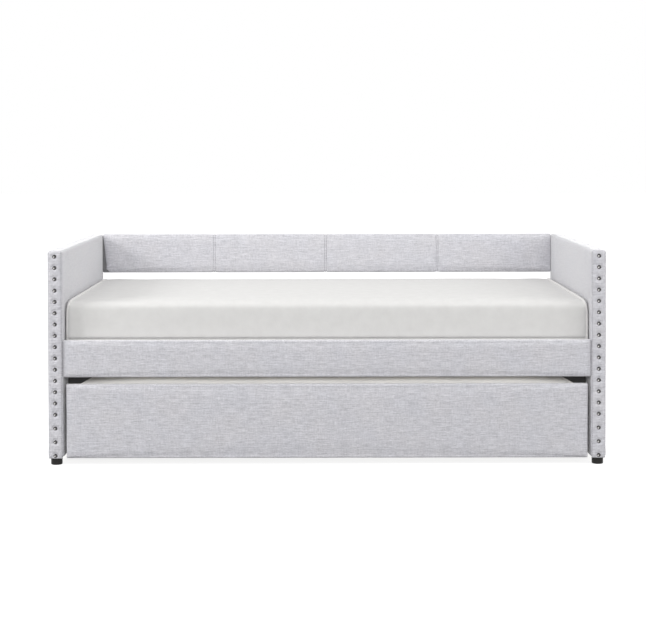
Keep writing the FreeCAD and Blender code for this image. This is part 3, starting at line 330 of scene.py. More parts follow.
def make_materials():
    weave = make_weave_effect()
    knit = make_knit_effect()
    grain = make_grain_effect()
    finish = make_finish_effect()
    linen_yarns = {
        "Pale Yarn": (0.72, 0.71, 0.74, 1),
        "Dark Yarn": (0.42, 0.415, 0.44, 1),
        "Tint": (0.975, 0.985, 1.0, 1),
    }
    made = {
        "linen": material(
            "heathered grey linen", weave, linen_yarns, 0.5 * MM, 0.7, Sheen_Weight=1.0, Sheen_Roughness=0.3
        ),
        "thread": material(
            "sewing thread",
            weave,
            {"Pale Yarn": (0.31, 0.31, 0.325, 1), "Dark Yarn": (0.2, 0.2, 0.215, 1), "Yarn Pitch": 0.0006},
            0.2 * MM,
            0.8,
            Sheen_Weight=0.1,
        ),
        # Painted shade: a dark cloth for the sheet that closes the slot beside the back rail's left end.
        "lining": material(
            "lining in painted shade",
            weave,
            {"Pale Yarn": (0.20, 0.20, 0.205, 1), "Dark Yarn": (0.13, 0.13, 0.135, 1), "Yarn Pitch": 0.0009},
            0.2 * MM,
            0.6,
            Sheen_Weight=0.05,
        ),
        "knit": material(
            "mattress stretch knit",
            knit,
            {"Face Colour": (0.665, 0.66, 0.648, 1), "Valley Colour": (0.615, 0.608, 0.598, 1)},
            0.3 * MM,
            0.5,
            Sheen_Weight=0.08,
        ),
        "piping": material(
            "mattress piping",
            knit,
            {
                "Face Colour": (0.76, 0.75, 0.735, 1),
                "Valley Colour": (0.64, 0.63, 0.615, 1),
                "Rib Pitch": 0.0026,
            },
            0.5 * MM,
            0.8,
            Sheen_Weight=0.08,
        ),
        "gunmetal": material(
            "antiqued gunmetal",
            finish,
            {
                "Colour": (0.055, 0.053, 0.055, 1),
                "Scuff Colour": (0.16, 0.155, 0.15, 1),
                "Scuffs": 0.5,
                "Smooth": 0.16,
                "Dull": 0.3,
                # A painted highlight on the nails' domes, paler where they face the front, in place of a
                # reflection.
                "Crown Colour": (0.62, 0.61, 0.6, 1),
                "Crown Wear": 0.9,
            },
            0.08 * MM,
            0.5,
            Metallic=1.0,
            Specular_Tint=(0.25, 0.25, 0.25, 1),
        ),
        "frame_timber": material(
            "planed pine along the bed",
            grain,
            {"Early Wood": (0.66, 0.52, 0.35, 1), "Late Wood": (0.5, 0.35, 0.2, 1)},
            0.3 * MM,
            0.6,
            place=(0.25, 3.0, 3.0),
        ),
        "slat_timber": material(
            "planed pine across the bed",
            grain,
            {"Early Wood": (0.70, 0.60, 0.46, 1), "Late Wood": (0.58, 0.46, 0.32, 1)},
            0.3 * MM,
            0.6,
            place=(3.0, 0.25, 3.0),
        ),
        "box_board": material(
            "grey laminated board",
            finish,
            {
                "Colour": (0.53, 0.53, 0.55, 1),
                "Scuff Colour": (0.44, 0.43, 0.43, 1),
                "Grit Scale": 500.0,
                "Scuffs": 0.35,
                "Smooth": 0.42,
                "Dull": 0.58,
            },
            0.08 * MM,
            0.5,
        ),
        "black_steel": material(
            "black powder-coated steel",
            finish,
            {
                "Colour": (0.062, 0.061, 0.06, 1),
                "Scuff Colour": (0.12, 0.12, 0.12, 1),
                "Grit Scale": 1400.0,
                "Scuffs": 0.25,
            },
            0.12 * MM,
            0.6,
        ),
        "plated_steel": material(
            "zinc-plated steel",
            finish,
            {
                "Colour": (0.55, 0.55, 0.54, 1),
                "Scuff Colour": (0.36, 0.35, 0.33, 1),
                "Grit Scale": 700.0,
                "Scuffs": 0.6,
                "Smooth": 0.25,
                "Dull": 0.45,
            },
            0.05 * MM,
            0.5,
            Metallic=1.0,
        ),
        "foot_plastic": material(
            "black moulded foot",
            finish,
            {"Colour": (0.009, 0.0085, 0.0075, 1), "Scuff Colour": (0.03, 0.028, 0.025, 1), "Scuffs": 0.3},
            0.15 * MM,
            0.6,
            Specular_IOR_Level=0.25,
        ),
        "wheel_plastic": material(
            "grey moulded wheel",
            finish,
            {"Colour": (0.09, 0.09, 0.092, 1), "Scuff Colour": (0.2, 0.19, 0.18, 1), "Scuffs": 0.6},
            0.15 * MM,
            0.6,
        ),
    }
    return made


# ---------------------------------------------------------------- soft shapes


def add_piece(name, mesh, finish):
    piece = bpy.data.objects.new(name, mesh)
    bpy.context.scene.collection.objects.link(piece)
    mesh.materials.clear()
    mesh.materials.append(finish)
    mesh.polygons.foreach_set("use_smooth", [True] * len(mesh.polygons))
    return piece


def settle(piece):
    """Swaps the piece's mesh for what its modifiers make of it."""
    state = bpy.context.evaluated_depsgraph_get()
    shown = bpy.data.meshes.new_from_object(piece.evaluated_get(state))
    piece.modifiers.clear()
    piece.data = shown


# How far along a rounding its cells' edges lie on the square corner, for four even steps of turn.
ARC_STOPS = tuple(1 - math.tan(math.radians(turn)) for turn in (45, 33.75, 22.5, 11.25, 0))


def cell_lines(first, last, radius, cell):
    """Where the cells' edges lie along one axis: close together over both roundings, even between them."""
    arc = [radius * stop for stop in ARC_STOPS]
    inner = last - first - 2 * radius
    cells = max(1, round(inner / cell))
    between = [first + radius + inner * i / cells for i in range(1, cells)]
    return [first + by for by in arc] + between + [last - by for by in reversed(arc)]


def rounded_block(name, low, high, radii, cell, finish, reshape=None):
    """A closed block of small cells. Its rounding reaches radii from each face along X, Y and Z."""
    lines = [cell_lines(low[i], high[i], radii[i], cell) for i in range(3)]
    shape = bmesh.new()
    corners = {}

    def corner(spot):
        if spot not in corners:
            square = Vector(lines[i][spot[i]] for i in range(3))
            core = Vector(max(low[i] + radii[i], min(high[i] - radii[i], square[i])) for i in range(3))
            lean = Vector((square[i] - core[i]) / radii[i] for i in range(3)).normalized()
            place = Vector(core[i] + radii[i] * lean[i] for i in range(3))
            if reshape is not None:
                reshape(place)
            corners[spot] = shape.verts.new(place)
        return corners[spot]

    for axis in range(3):
        one, two = (axis + 1) % 3, (axis + 2) % 3
        top = len(lines[axis]) - 1
        for end in (0, top):
            for i in range(len(lines[one]) - 1):
                for j in range(len(lines[two]) - 1):
                    ring = []
                    for step_one, step_two in ((0, 0), (1, 0), (1, 1), (0, 1)):
                        spot = [end, end, end]
                        spot[one] = i + step_one
                        spot[two] = j + step_two
                        ring.append(corner(tuple(spot)))
                    shape.faces.new(ring if end == top else ring[::-1])
    mesh = bpy.data.meshes.new(name)
    shape.to_mesh(mesh)
    shape.free()
    return add_piece(name, mesh, finish)


SIM_FRAMES = 20
PAD_PRESSURE = 4.0
RELAX_STEPS = 2
RELAX_SHARE = 0.5
PADS = []


def pad(piece, box, puff, held):
    """Lines a closed block up to be blown out by the cloth simulation, by puff at most, where held() is
    false. It then fills box, its lowest and highest corners."""
    start = [point.co.copy() for point in piece.data.vertices]
    fixed = piece.vertex_groups.new(name="held")
    fixed.add([i for i, place in enumerate(start) if held(place)], 1.0, "REPLACE")
    cloth = piece.modifiers.new("padding", "CLOTH")
    cloth.settings.vertex_group_mass = fixed.name
    cloth.settings.use_pressure = True
    cloth.settings.uniform_pressure_force = PAD_PRESSURE
    cloth.settings.effector_weights.gravity = 0.0
    cloth.point_cache.frame_start = 1
    cloth.point_cache.frame_end = SIM_FRAMES
    outward = [point.normal.copy() for point in piece.data.vertices]
    PADS.append((piece, box, start, outward, puff, held))


def blow_up_pads():
    """Runs every pad's simulation at once, caps how far each point went, and doubles the mesh."""
    scene = bpy.context.scene
    for step in range(1, SIM_FRAMES + 1):
        scene.frame_set(step)
    for piece, box, start, outward, puff, held in PADS:
        settle(piece)
        for point, was, out in zip(piece.data.vertices, start, outward):
            gone = point.co - was
            gone -= out * min(0.0, gone.dot(out))
            if gone.length > puff:
                gone *= puff / gone.length
            point.co = was + gone
        piece.vertex_groups.clear()
        smooth = piece.modifiers.new("relax", "SMOOTH")
        smooth.factor = RELAX_SHARE
        smooth.iterations = RELAX_STEPS
        finer = piece.modifiers.new("finer", "SUBSURF")
        finer.levels = 1
        finer.render_levels = 1
        settle(piece)
        fill_box(piece.data, *box)


def fill_box(mesh, low, high):
    """Stretches a mesh a little along each axis, until it reaches the box's faces."""
    places = [point.co for point in mesh.vertices]
    for axis in range(3):
        first = min(place[axis] for place in places)
        last = max(place[axis] for place in places)
        stretch = (high[axis] - low[axis]) / (last - first)
        for place in places:
            place[axis] = low[axis] + (place[axis] - first) * stretch


def tree_of(piece):
    """For finding where a straight line meets the piece."""
    mesh = piece.data
    return BVHTree.FromPolygons([v.co for v in mesh.vertices], [p.vertices for p in mesh.polygons])


def ripple(piece, depth, length, seed):
    """The slight waviness of stretched cloth: depth out and in, over about length."""
    mesh = piece.data
    lift = [noise.noise(v.co / length + Vector((seed, 0.0, 0.0))) * depth for v in mesh.vertices]
    normals = [v.normal.copy() for v in mesh.vertices]
    for point, normal, by in zip(mesh.vertices, normals, lift):
        point.co += normal * by


CREASE_FADE = 3


def crease(piece, start, end, depth, width):
    """Pulls the cloth in along a straight fold or seam line, fading out over width."""
    mesh = piece.data
    run = end - start
    reach = width * CREASE_FADE
    moves = []
    for point in mesh.vertices:
        along = max(0.0, min(1.0, (point.co - start).dot(run) / run.length_squared))
        away = (point.co - (start + run * along)).length
        if away < reach:
            moves.append((point, point.normal * (depth * math.exp(-((away / width) ** 2)))))
    for point, move in moves:
        point.co -= move


SLICE_SNAP = 0.3 * MM


def slice_mesh(piece, axis, places):
    """Adds a loop of edges round the piece at each place along one axis, for a seam to follow."""
    shape = bmesh.new()
    shape.from_mesh(piece.data)
    facing = Vector(1.0 if i == axis else 0.0 for i in range(3))
    for place in places:
        everything = shape.verts[:] + shape.edges[:] + shape.faces[:]
        bmesh.ops.bisect_plane(
            shape, geom=everything, plane_co=facing * place, plane_no=facing, dist=SLICE_SNAP
        )
    shape.to_mesh(piece.data)
    shape.free()
    piece.data.polygons.foreach_set("use_smooth", [True] * len(piece.data.polygons))


CORD_ROUNDNESS = 3


def cord_loop(name, points, radius, finish):
    """A round cord through the points and back to the first."""
    line = bpy.data.curves.new(name, "CURVE")
    line.dimensions = "3D"
    line.bevel_depth = radius
    line.bevel_resolution = CORD_ROUNDNESS
    run = line.splines.new("POLY")
    run.points.add(len(points) - 1)
    for spot, place in zip(run.points, points):
        spot.co = (*place, 1.0)
    run.use_cyclic_u = True
    drawn = bpy.data.objects.new(name + "_line", line)
    bpy.context.scene.collection.objects.link(drawn)
    state = bpy.context.evaluated_depsgraph_get()
    mesh = bpy.data.meshes.new_from_object(drawn.evaluated_get(state))
    bpy.data.objects.remove(drawn)
    bpy.data.curves.remove(line)
    mesh.name = name
    return add_piece(name, mesh, finish)


STITCH_LENGTH = 4.6 * MM
STITCH_GAP = 2.6 * MM
STITCH_RADIUS = 0.8 * MM
STITCH_SIDES = 6
STITCH_RINGS = (
    # place along the stitch, girth, lift
    (-0.5, 0.35, -0.6),
    (-0.36, 0.85, 0.1),
    (0.0, 1.0, 0.45),
    (0.36, 0.85, 0.1),
    (0.5, 0.35, -0.6),
)


def stitches(name, rows, finish):
    """Sewn stitches along rows of (place, outward) points: each a short thread that dips in at both ends."""
    points, faces = [], []
    for row in rows:
        travelled, due = 0.0, 0.0
        for (here, out), (there, _) in zip(row, row[1:]):
            step = (there - here).length
            if step == 0.0:
                continue
            ahead = (there - here) / step
            side = ahead.cross(out).normalized()
            while due + STITCH_LENGTH <= travelled + step:
                centre = here + ahead * (due - travelled + STITCH_LENGTH / 2)
                first = len(points)
                for place, girth, lift in STITCH_RINGS:
                    ring = centre + ahead * (place * STITCH_LENGTH) + out * (lift * STITCH_RADIUS)
                    for turn in range(STITCH_SIDES):
                        angle = 2 * math.pi * turn / STITCH_SIDES
                        around = side * math.cos(angle) + out * math.sin(angle)
                        points.append(ring + around * (girth * STITCH_RADIUS))
                for ring in range(len(STITCH_RINGS) - 1):
                    for turn in range(STITCH_SIDES):
                        a = first + ring * STITCH_SIDES + turn
                        b = first + ring * STITCH_SIDES + (turn + 1) % STITCH_SIDES
                        faces.append((a, b, b + STITCH_SIDES, a + STITCH_SIDES))
                faces.append(tuple(first + turn for turn in reversed(range(STITCH_SIDES))))
                last = first + (len(STITCH_RINGS) - 1) * STITCH_SIDES
                faces.append(tuple(last + turn for turn in range(STITCH_SIDES)))
                due += STITCH_LENGTH + STITCH_GAP
            travelled += step
    mesh = bpy.data.meshes.new(name)
    mesh.from_pydata(points, [], faces)
    return add_piece(name, mesh, finish)


# ---------------------------------------------------------------- the bed's own soft pieces

ARM_PUFF = 3 * MM
ARM_RADII = (12 * MM, 12 * MM, 12 * MM)
ARM_CELL = 12 * MM
ARM_HELD = 4 * MM
STRIP_STANDS = 1.2 * MM
RAIL_PUFF = 4 * MM
RAIL_RADII = (2 * MM, 6 * MM, 7 * MM)
BACK_RAIL_RADII = (3 * MM, 12 * MM, 20 * MM)
RAIL_CELL = 8 * MM
RAIL_END_PRESS = 3.5 * MM
RAIL_END_HELD = 6 * MM
MATTRESS_PUFF = 7 * MM
TRUNDLE_MATTRESS_PUFF = 5 * MM
MATTRESS_RADII = (7 * MM, 40 * MM, 30 * MM)
TRUNDLE_MATTRESS_RADII = (13 * MM, 90 * MM, 25 * MM)
MATTRESS_CELL = 14 * MM
MATTRESS_HELD = 2 * MM
# How much of its puff each mattress has room for before it is blown out, at its ends, sides and top.
MATTRESS_ROOM = (0.4, 0.6, 0.9)
MATTRESS_END_PRESS = (9 * MM, 10.5 * MM)
TRUNDLE_MATTRESS_END_PRESS = (0.0, 0.0)
TUCK_ABOVE = 0.5 * MM
TUCK_WIDTH = 5 * MM
TUCK_DEPTH = 7 * MM
TUCK_LOOPS = (-1.5, -0.75, 0.0, 0.75, 1.5)

SEAM_PLACES = (-0.4845, -0.0045, 0.4765)
SEAM_HALF_WIDTH = 4.0 * MM
SEAM_HOLLOW = 1.2 * MM
SEAM_HOLLOW_WIDTH = SEAM_HALF_WIDTH * 3
SEAM_HOLLOW_REACH = SEAM_HALF_WIDTH * 8
SEAM_LOOPS = (-2.2, -1.1, 0.0, 1.1, 2.2)
STITCH_HOLLOW = 2.2 * MM
STITCH_HOLLOW_WIDTH = 1.3 * MM
LOOSE_END_SLANT = 24 * MM
LOOSE_END_REACH = 45 * MM
LOOSE_END_DEPTH = 8 * MM

LINING_THICK = 1.2 * MM
LINING_LAP = 1 * MM
LINING_FOOT_ROOM = 4 * MM
LINING_TOP_ROOM = 9 * MM
LINING_RADII = (0.5 * MM, 0.5 * MM, 0.5 * MM)
LINING_CELL = 8 * MM

CORNER_FOLD_DROP = 2 * MM
CORNER_FOLD_RUN = Vector((30 * MM, 0.0, 16 * MM))
CORNER_FOLD_DEPTH = 2.2 * MM
CORNER_FOLD_WIDTH = 4 * MM

# A row of stitches round the back rail starts low on its front face and ends low on its back face.
ROW_POINTS = 150
ROW_START = math.radians(250)
ROW_TURN = math.radians(320)
ROW_REACH = 0.3

COVER_RIPPLE = (0.45 * MM, 0.12)
COVER_RIPPLE_SEED = 7.0
MATTRESS_RIPPLE = (1.4 * MM, 0.25)
MATTRESS_RIPPLE_SEED = 5.0


def make_arm(side, materials):
    """The padded body of one arm; its front and back strips are sewn on afterwards."""
    low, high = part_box(side + "_arm_cover")
    strip_room = Vector((0.0, STRIP_STANDS, 0.0))
    low, high = low + strip_room, high - strip_room
    start_low = low + Vector((ARM_PUFF, ARM_PUFF, 0.0))
    start_high = high - Vector((ARM_PUFF, ARM_PUFF, ARM_PUFF))
    name = side + "_arm_upholstery"
    piece = rounded_block(name, start_low, start_high, ARM_RADII, ARM_CELL, materials["linen"])
    held_below = low.z + ARM_HELD
    pad(piece, (low, high), ARM_PUFF, lambda place: place.z < held_below)
    return piece


def make_rail(node, name, materials, radii=RAIL_RADII, reshape=None):
    """A padded rail whose ends press lightly on what stands beside them."""
    low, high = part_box(node)
    press = Vector((RAIL_END_PRESS if node != "trundle_front_cover" else 0.0, 0.0, 0.0))
    low, high = low - press, high + press
    inset = Vector((0.0, RAIL_PUFF, RAIL_PUFF))
    piece = rounded_block(name, low + inset, high - inset, radii, RAIL_CELL, materials["linen"], reshape)
    held_beyond = high.x - RAIL_END_HELD
    pad(piece, (low, high), RAIL_PUFF, lambda place: abs(place.x) > held_beyond)
    return piece


def make_mattress(node, name, radii, puff, press, materials):
    """A knitted cover blown out round its filling; press is how far each end reaches past the CAD box."""
    low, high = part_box(node)
    low = low - Vector((press[0], 0.0, 0.0))
    high = high + Vector((press[1], 0.0, 0.0))
    end_room, side_room, top_room = (puff * share for share in MATTRESS_ROOM)
    inset = Vector((end_room, side_room, 0.0))
    start_high = high - inset - Vector((0.0, 0.0, top_room))
    piece = rounded_block(name, low + inset, start_high, radii, MATTRESS_CELL, materials["knit"])
    held_below = low.z + MATTRESS_HELD
    pad(piece, (low, high), puff, lambda place: place.z < held_below)
    return piece


def tuck_mattress(piece):
    """Draws the mattress in along its front, just above the rail that it sits behind."""
    _, rail_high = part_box("front_rail_cover")
    low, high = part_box("mattress")
    level = rail_high.z + TUCK_ABOVE
    slice_mesh(piece, 2, [level + by * TUCK_WIDTH for by in TUCK_LOOPS])
    start = Vector((low.x, low.y, level))
    end = Vector((high.x, low.y, level))
    crease(piece, start, end, TUCK_DEPTH, TUCK_WIDTH)


def slant_loose_end(place):
    """The face of the back rail's cover is pulled in towards the foot of its left end."""
    low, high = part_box("back_rail_cover")
    left = max(0.0, 1 - (place.x - low.x) / LOOSE_END_REACH)
    foot = max(0.0, min(1.0, (high.z - place.z) / (high.z - low.z)))
    front = max(0.0, min(1.0, 2 - (place.y - low.y) / LOOSE_END_DEPTH))
    place.x += LOOSE_END_SLANT * left * foot * front


def make_end_lining(materials):
    """A lining sheet behind the back rail's slanted left end, coloured dark as painted shade for the slot
    there.
    """
    low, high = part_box("back_rail_cover")
    face = low.y + LOOSE_END_DEPTH - LINING_LAP
    reach = LOOSE_END_SLANT + LINING_LAP
    corner = Vector((low.x - RAIL_END_PRESS, face, low.z + LINING_FOOT_ROOM))
    far = Vector((low.x + reach, face + LINING_THICK, high.z - LINING_TOP_ROOM))
    name = "back_rail_end_shade_lining"
    lining = rounded_block(name, corner, far, LINING_RADII, LINING_CELL, materials["lining"])
    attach(lining, "daybed")


def sew_back_rail(piece, materials):
    """Three upright seams, each with a row of stitches down both sides, over the front, top and back."""
    low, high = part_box("back_rail_cover")
    rows_at = [seam + side * SEAM_HALF_WIDTH for seam in SEAM_PLACES for side in (-1, 1)]
    slice_mesh(piece, 0, [row + by * MM for row in rows_at for by in SEAM_LOOPS])
    moves = []
    for point in piece.data.vertices:
        hollow = 0.0
        for seam in SEAM_PLACES:
            away = abs(point.co.x - seam)
            if away < SEAM_HOLLOW_REACH:
                hollow += SEAM_HOLLOW * math.exp(-((away / SEAM_HOLLOW_WIDTH) ** 2))
                beside = (away - SEAM_HALF_WIDTH) / STITCH_HOLLOW_WIDTH
                hollow += STITCH_HOLLOW * math.exp(-beside * beside)
        if hollow > 0.0:
            moves.append((point, point.normal * hollow))
    for point, move in moves:
        point.co -= move
    corner = Vector((high.x, low.y, high.z - CORNER_FOLD_DROP))
    crease(piece, corner, corner - CORNER_FOLD_RUN, CORNER_FOLD_DEPTH, CORNER_FOLD_WIDTH)
    cloth = tree_of(piece)
    middle = (low + high) / 2
    rows = [row_round(cloth, row, middle) for row in rows_at]
    sewn = stitches("back_rail_seam_stitches", rows, materials["thread"])
    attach(sewn, "daybed")


def row_round(cloth, across, middle):
    """Points round the piece at one place along the bed: up the front, over the top and down the back."""
    row = []
    for step in range(ROW_POINTS + 1):
        angle = ROW_START - ROW_TURN * step / ROW_POINTS
        out = Vector((0.0, math.cos(angle), math.sin(angle)))
        centre = Vector((across, middle.y, middle.z))
        hit, normal, _, _ = cloth.ray_cast(centre + out * ROW_REACH, -out)
        if hit is not None:
            row.append((hit, normal))
    return row


def strip_grid(name, across, along, place, finish):
    """A sheet of cloth laid out as a grid: place(u, v) gives each point."""
    points = [place(u, v) for v in along for u in across]
    columns = len(across)
    faces = []
    for row in range(len(along) - 1):
        for column in range(columns - 1):
            corner = row * columns + column
            faces.append((corner, corner + 1, corner + 1 + columns, corner + columns))
    mesh = bpy.data.meshes.new(name)
    mesh.from_pydata(points, [], faces)
    return add_piece(name, mesh, finish)


STRIP_CELL = 2.5 * MM
STRIP_EDGE = 8 * MM
STRIP_FOOT_ROOM = 2 * MM
STRIP_TOP_ROOM = {"front": 5 * MM, "rear": 15 * MM}
STRIP_CORNER = 11 * MM
STRIP_THICK = 1.2 * MM
STRIP_CROWN = 2.8 * MM
STRIP_CROWN_WIDTH = 6 * MM
STRIP_SUNK = 0.4 * MM
# The strip's last cells turn in under it: how far out they start, at the sides and top and at the foot.
TURN_IN = 0.6 * MM
TURN_IN_FOOT = 0.4 * MM
TURN_IN_DEPTH = 3 * MM
RUMPLE = 0.5 * MM
RUMPLE_SCALE = 45.0
PUCKER = 1.1 * MM
PUCKER_REACH = 26 * MM
PUCKER_FOLDS = 6
PUCKER_SWAY = 5
PUCKER_SEED_SCALE = 60
PUCKER_EDGE_FADE = 3 * MM
NAIL_ROOM = 0.6 * MM
NAIL_SLOPE = 6 * MM
NAIL_SEAT = 0.5 * MM
CROWN_DEPTH = 0.5 * MM
NAILS_APART = 10 * MM
STITCH_ROW_OUT = 1.2 * MM
STITCH_ROW_SUNK = 0.5 * MM


def nail_places():
    """The heights of the nails down one arm and their radius, read from the nailheads' own mesh."""
    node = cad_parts["left_arm_nailheads"]
    low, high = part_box("left_arm_nailheads")
    crown = low.y + CROWN_DEPTH
    tops = sorted(point.co.z for point in node.data.vertices if point.co.y < crown)
    groups = [[tops[0]]]
    for height in tops[1:]:
        if height - groups[-1][-1] > NAILS_APART:
            groups.append([])
        groups[-1].append(height)
    return [sum(group) / len(group) for group in groups], (high.x - low.x) / 2


def make_arm_strip(side, end, materials):
    """The narrow strip sewn up an arm's front or rear edge, pulled in at each nail and puffed between."""
    low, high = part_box(side + "_arm_cover")
    heights, nail_radius = nail_places()
    nails = heights if end == "front" else []
    seat_edge = nail_radius + NAIL_ROOM
    face = low.y if end == "front" else high.y
    outward = -1.0 if end == "front" else 1.0
    middle = (low.x + high.x) / 2
    half = (high.x - low.x) / 2 - STRIP_EDGE
    bottom, top = low.z + STRIP_FOOT_ROOM, high.z - STRIP_TOP_ROOM[end]
    columns = round(2 * half / STRIP_CELL)
    rows = round((top - bottom) / STRIP_CELL)
    across = [-half + 2 * half * i / columns for i in range(columns + 1)]
    along = [bottom + (top - bottom) * i / rows for i in range(rows + 1)]
    across = [-half - TURN_IN] + across + [half + TURN_IN]
    along = [bottom - TURN_IN_FOOT] + along + [top + TURN_IN]
    seed = Vector((middle * 40.0, 0.0, 3.0 * outward))

    def place(u, v):
        over = max(0.0, min(1.0, (v - top + STRIP_CORNER) / STRIP_CORNER))
        narrowed = STRIP_CORNER * (1 - math.sqrt(1 - over * over))
        shown = middle + u * (half - narrowed) / half
        tucked = abs(u) > half or v < bottom or v > top
        if tucked:
            return Vector((shown, face - outward * TURN_IN_DEPTH, v))
        edge = min(half - abs(u), v - bottom, top - v)
        crown = STRIP_CROWN * (1 - math.exp(-edge / STRIP_CROWN_WIDTH))
        rise = crown + noise.noise(Vector((u, v, 0.0)) * RUMPLE_SCALE + seed) * RUMPLE
        for nail in nails:
            off = v - nail
            near = math.hypot(u, off)
            seat = max(0.0, min(1.0, (near - seat_edge) / NAIL_SLOPE))
            hollow = 1 - seat * seat * (3 - 2 * seat)
            rise = rise * (1 - hollow) + NAIL_SEAT * hollow
            if seat_edge < near < PUCKER_REACH:
                turn = math.atan2(off, u)
                sway = noise.noise(Vector((nail * PUCKER_SEED_SCALE, turn, 0.0)) + seed)
                fold = math.cos(PUCKER_FOLDS * turn + PUCKER_SWAY * sway)
                fade = 1 - (near - seat_edge) / (PUCKER_REACH - seat_edge)
                rise += PUCKER * fold * seat * fade * min(1.0, edge / PUCKER_EDGE_FADE)
        return Vector((shown, face + outward * (rise - STRIP_SUNK), v))

    strip = strip_grid(f"{side}_arm_{end}_strip", across, along, place, materials["linen"])
    if end == "front":
        strip.data.flip_normals()
    thick = strip.modifiers.new("cloth", "SOLIDIFY")
    thick.thickness = STRIP_THICK
    thick.offset = -1.0
    settle(strip)
    strip.data.polygons.foreach_set("use_smooth", [True] * len(strip.data.polygons))
    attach(strip, "daybed")
    out = Vector((0.0, outward, 0.0))
    rows = []
    for edge_side in (-1, 1):
        u = middle + edge_side * (half + STITCH_ROW_OUT)
        points = [Vector((u, face - outward * STITCH_ROW_SUNK, v)) for v in along]
        rows.append([(point, out) for point in points])
    return rows


def finish_soft(piece, node):
    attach(piece, "trundle" if node.startswith("trundle") else "daybed")
    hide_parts(node)


PIPING_RADIUS = 5 * MM
PIPING_STANDS = -1.2 * MM
PIPING_IN_UPRIGHT = 4 * MM
PIPING_IN_LEVEL = 16 * MM
PIPING_POINTS = 240
# How sharply the cord moves in as it turns from an upright run to a level one.
PIPING_TURN = 4


def pipe_mattress(piece, node, materials):
    """A piping cord round each end panel, lying on the cover."""
    places = [point.co for point in piece.data.vertices]
    low = Vector(min(place[i] for place in places) for i in range(3))
    high = Vector(max(place[i] for place in places) for i in range(3))
    cloth = tree_of(piece)
    centre = (low + high) / 2
    for side, end in (("left", low.x), ("right", high.x)):
        inward = 1.0 if side == "left" else -1.0
        points = []
        for step in range(PIPING_POINTS):
            angle = 2 * math.pi * step / PIPING_POINTS
            out = Vector((0.0, math.cos(angle), math.sin(angle)))
            level = abs(out.z) * (high.y - low.y) / max(abs(out.y) * (high.z - low.z), 1e-6)
            more = (PIPING_IN_LEVEL - PIPING_IN_UPRIGHT) * min(1.0, level ** PIPING_TURN)
            set_in = PIPING_IN_UPRIGHT + more
            across = end + inward * set_in
            hit, normal, _, _ = cloth.ray_cast(Vector((across, centre.y, centre.z)) + out, -out)
            if hit is not None:
                points.append(hit + normal * PIPING_STANDS)
        name = f"{node}_{side}_piping"
        cord = cord_loop(name, points, PIPING_RADIUS, materials["piping"])
        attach(cord, "trundle" if node.startswith("trundle") else "daybed")


# ---------------------------------------------------------------- stage

FLOOR_HALF = 30.0
FLOOR_DROP = 0.3 * MM
FLOOR_COLOUR = (0.3, 0.3, 0.3, 1)
FLOOR_ROUGHNESS = 0.9
FLOOR_GLOW = 0.86
ROOM_LIGHT = 1.0
WHITE = (1, 1, 1, 1)


def seen_plainly(tree):
    """1 where the eye, a mirror image or a view through glass meets the surface, and 0 for its light."""
    path = tree.add("ShaderNodeLightPath").outputs
    seen = tree.math("MAXIMUM", path["Is Camera Ray"], path["Is Glossy Ray"])
    return tree.math("MAXIMUM", seen, path["Is Transmission Ray"])


def make_floor():
    mesh = bpy.data.meshes.new("floor")
    corners = [(-1, -1), (1, -1), (1, 1), (-1, 1)]
    level = cad_low.z - FLOOR_DROP
    mesh.from_pydata([(x * FLOOR_HALF, y * FLOOR_HALF, level) for x, y in corners], [], [(0, 1, 2, 3)])
    floor = bpy.data.objects.new("floor", mesh)
    bpy.context.scene.collection.objects.link(floor)
    made = bpy.data.materials.new("pale floor")
    made.use_nodes = True
    tree = Tree(made.node_tree)
    shader = made.node_tree.nodes["Principled BSDF"]
    shader.inputs["Base Color"].default_value = FLOOR_COLOUR
    shader.inputs["Roughness"].default_value = FLOOR_ROUGHNESS
    shader.inputs["Specular IOR Level"].default_value = 0.0
    shader.inputs["Emission Color"].default_value = WHITE
    glow = tree.math("MULTIPLY", seen_plainly(tree), FLOOR_GLOW)
    tree.feed(shader.inputs["Emission Strength"], glow)
    mesh.materials.append(made)


def make_room():
    """White behind everything that the camera sees, and a softer, even light on the bed."""
    room = bpy.data.worlds.new("room")
    room.use_nodes = True
    tree = Tree(room.node_tree)
    shade = room.node_tree.nodes["Background"]
    shade.inputs["Color"].default_value = WHITE
    tree.feed(shade.inputs["Strength"], tree.blend(seen_plainly(tree), ROOM_LIGHT, 1.0))
    bpy.context.scene.world = room


LAMPS = (
    # name, place, aim, width, height, watts
    ("key", (-4.4, -2.0, 2.7), (0.0, 0.0, 0.4), 1.5, 1.2, 100.0),
    ("fill", (4.4, -2.4, 2.4), (0.0, 0.0, 0.4), 2.4, 2.0, 56.0),
    ("front", (0.0, -6.2, 2.0), (0.0, 0.0, 0.4), 2.0, 1.2, 52.0),
    ("top", (0.0, -0.6, 3.6), (0.0, 0.0, 0.4), 3.4, 2.4, 2.0),
    ("under deck", (0.0, -0.31, 0.35), (0.0, -0.31, 0.0), 1.88, 0.08, 0.95),
)


def make_lamps():
    for name, place, aim, width, height, watts in LAMPS:
        lamp = bpy.data.lights.new(name, "AREA")
        lamp.shape = "RECTANGLE"
        lamp.size = width
        lamp.size_y = height
        lamp.energy = watts
        stand = bpy.data.objects.new(name, lamp)
        stand.location = place
        stand.rotation_euler = (Vector(aim) - Vector(place)).to_track_quat("-Z", "Y").to_euler()
        bpy.context.scene.collection.objects.link(stand)


# ---------------------------------------------------------------- making

SLOT_FINISH = {
    "upholstery": "linen",
    "nailheads": "gunmetal",
    "mattress_fabric": "knit",
}


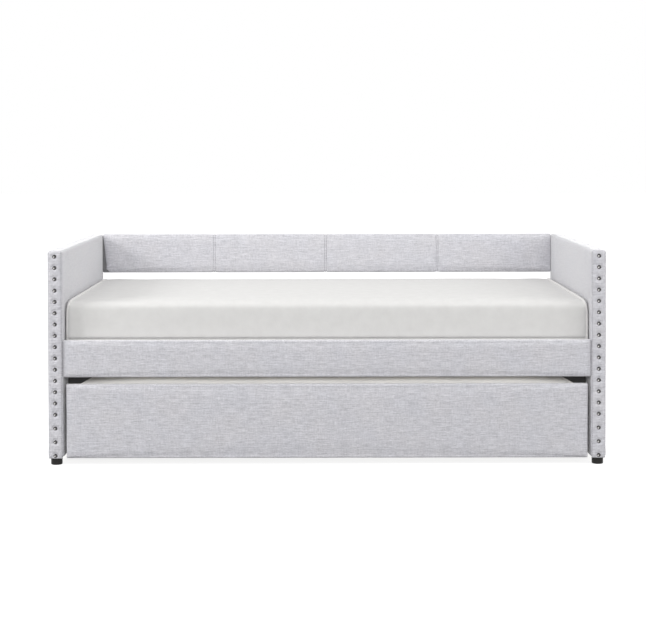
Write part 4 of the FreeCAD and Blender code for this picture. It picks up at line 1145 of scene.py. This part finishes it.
def dress_cad_nodes(materials):
    """Every CAD node's slots get the detailed finish of the same name."""
    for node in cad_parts.values():
        for holder in node.material_slots:
            if holder.material is not None:
                slot = holder.material.name.split(".")[0]
                holder.material = materials[SLOT_FINISH.get(slot, slot)]


def main():
    make_camera()
    make_floor()
    make_room()
    make_lamps()
    bpy.context.scene.view_settings.view_transform = "Standard"
    materials = make_materials()
    dress_cad_nodes(materials)

    left_arm = make_arm("left", materials)
    right_arm = make_arm("right", materials)
    front_rail = make_rail("front_rail_cover", "front_rail_upholstery", materials)
    rear_rail = make_rail("rear_rail_cover", "rear_rail_upholstery", materials)
    back_rail = make_rail(
        "back_rail_cover", "back_rail_upholstery", materials, BACK_RAIL_RADII, slant_loose_end
    )
    panel = make_rail("trundle_front_cover", "trundle_front_upholstery", materials)
    mattress = make_mattress(
        "mattress", "mattress_cover", MATTRESS_RADII, MATTRESS_PUFF, MATTRESS_END_PRESS, materials
    )
    lower = make_mattress(
        "trundle_mattress",
        "trundle_mattress_cover",
        TRUNDLE_MATTRESS_RADII,
        TRUNDLE_MATTRESS_PUFF,
        TRUNDLE_MATTRESS_END_PRESS,
        materials,
    )
    blow_up_pads()

    for seed, piece in enumerate((left_arm, right_arm, front_rail, rear_rail, back_rail, panel)):
        ripple(piece, *COVER_RIPPLE, seed * COVER_RIPPLE_SEED)
    for seed, piece in enumerate((mattress, lower)):
        ripple(piece, *MATTRESS_RIPPLE, seed * MATTRESS_RIPPLE_SEED)
    tuck_mattress(mattress)
    sew_back_rail(back_rail, materials)
    make_end_lining(materials)

    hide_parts("back_rail_board")
    for piece, node in (
        (left_arm, "left_arm_cover"),
        (right_arm, "right_arm_cover"),
        (front_rail, "front_rail_cover"),
        (rear_rail, "rear_rail_cover"),
        (back_rail, "back_rail_cover"),
        (panel, "trundle_front_cover"),
    ):
        finish_soft(piece, node)
    for piece, node in ((mattress, "mattress"), (lower, "trundle_mattress")):
        finish_soft(piece, node)
        pipe_mattress(piece, node, materials)
    for side in ("left", "right"):
        rows = make_arm_strip(side, "front", materials) + make_arm_strip(side, "rear", materials)
        sewn = stitches(f"{side}_arm_stitches", rows, materials["thread"])
        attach(sewn, "daybed")


main()
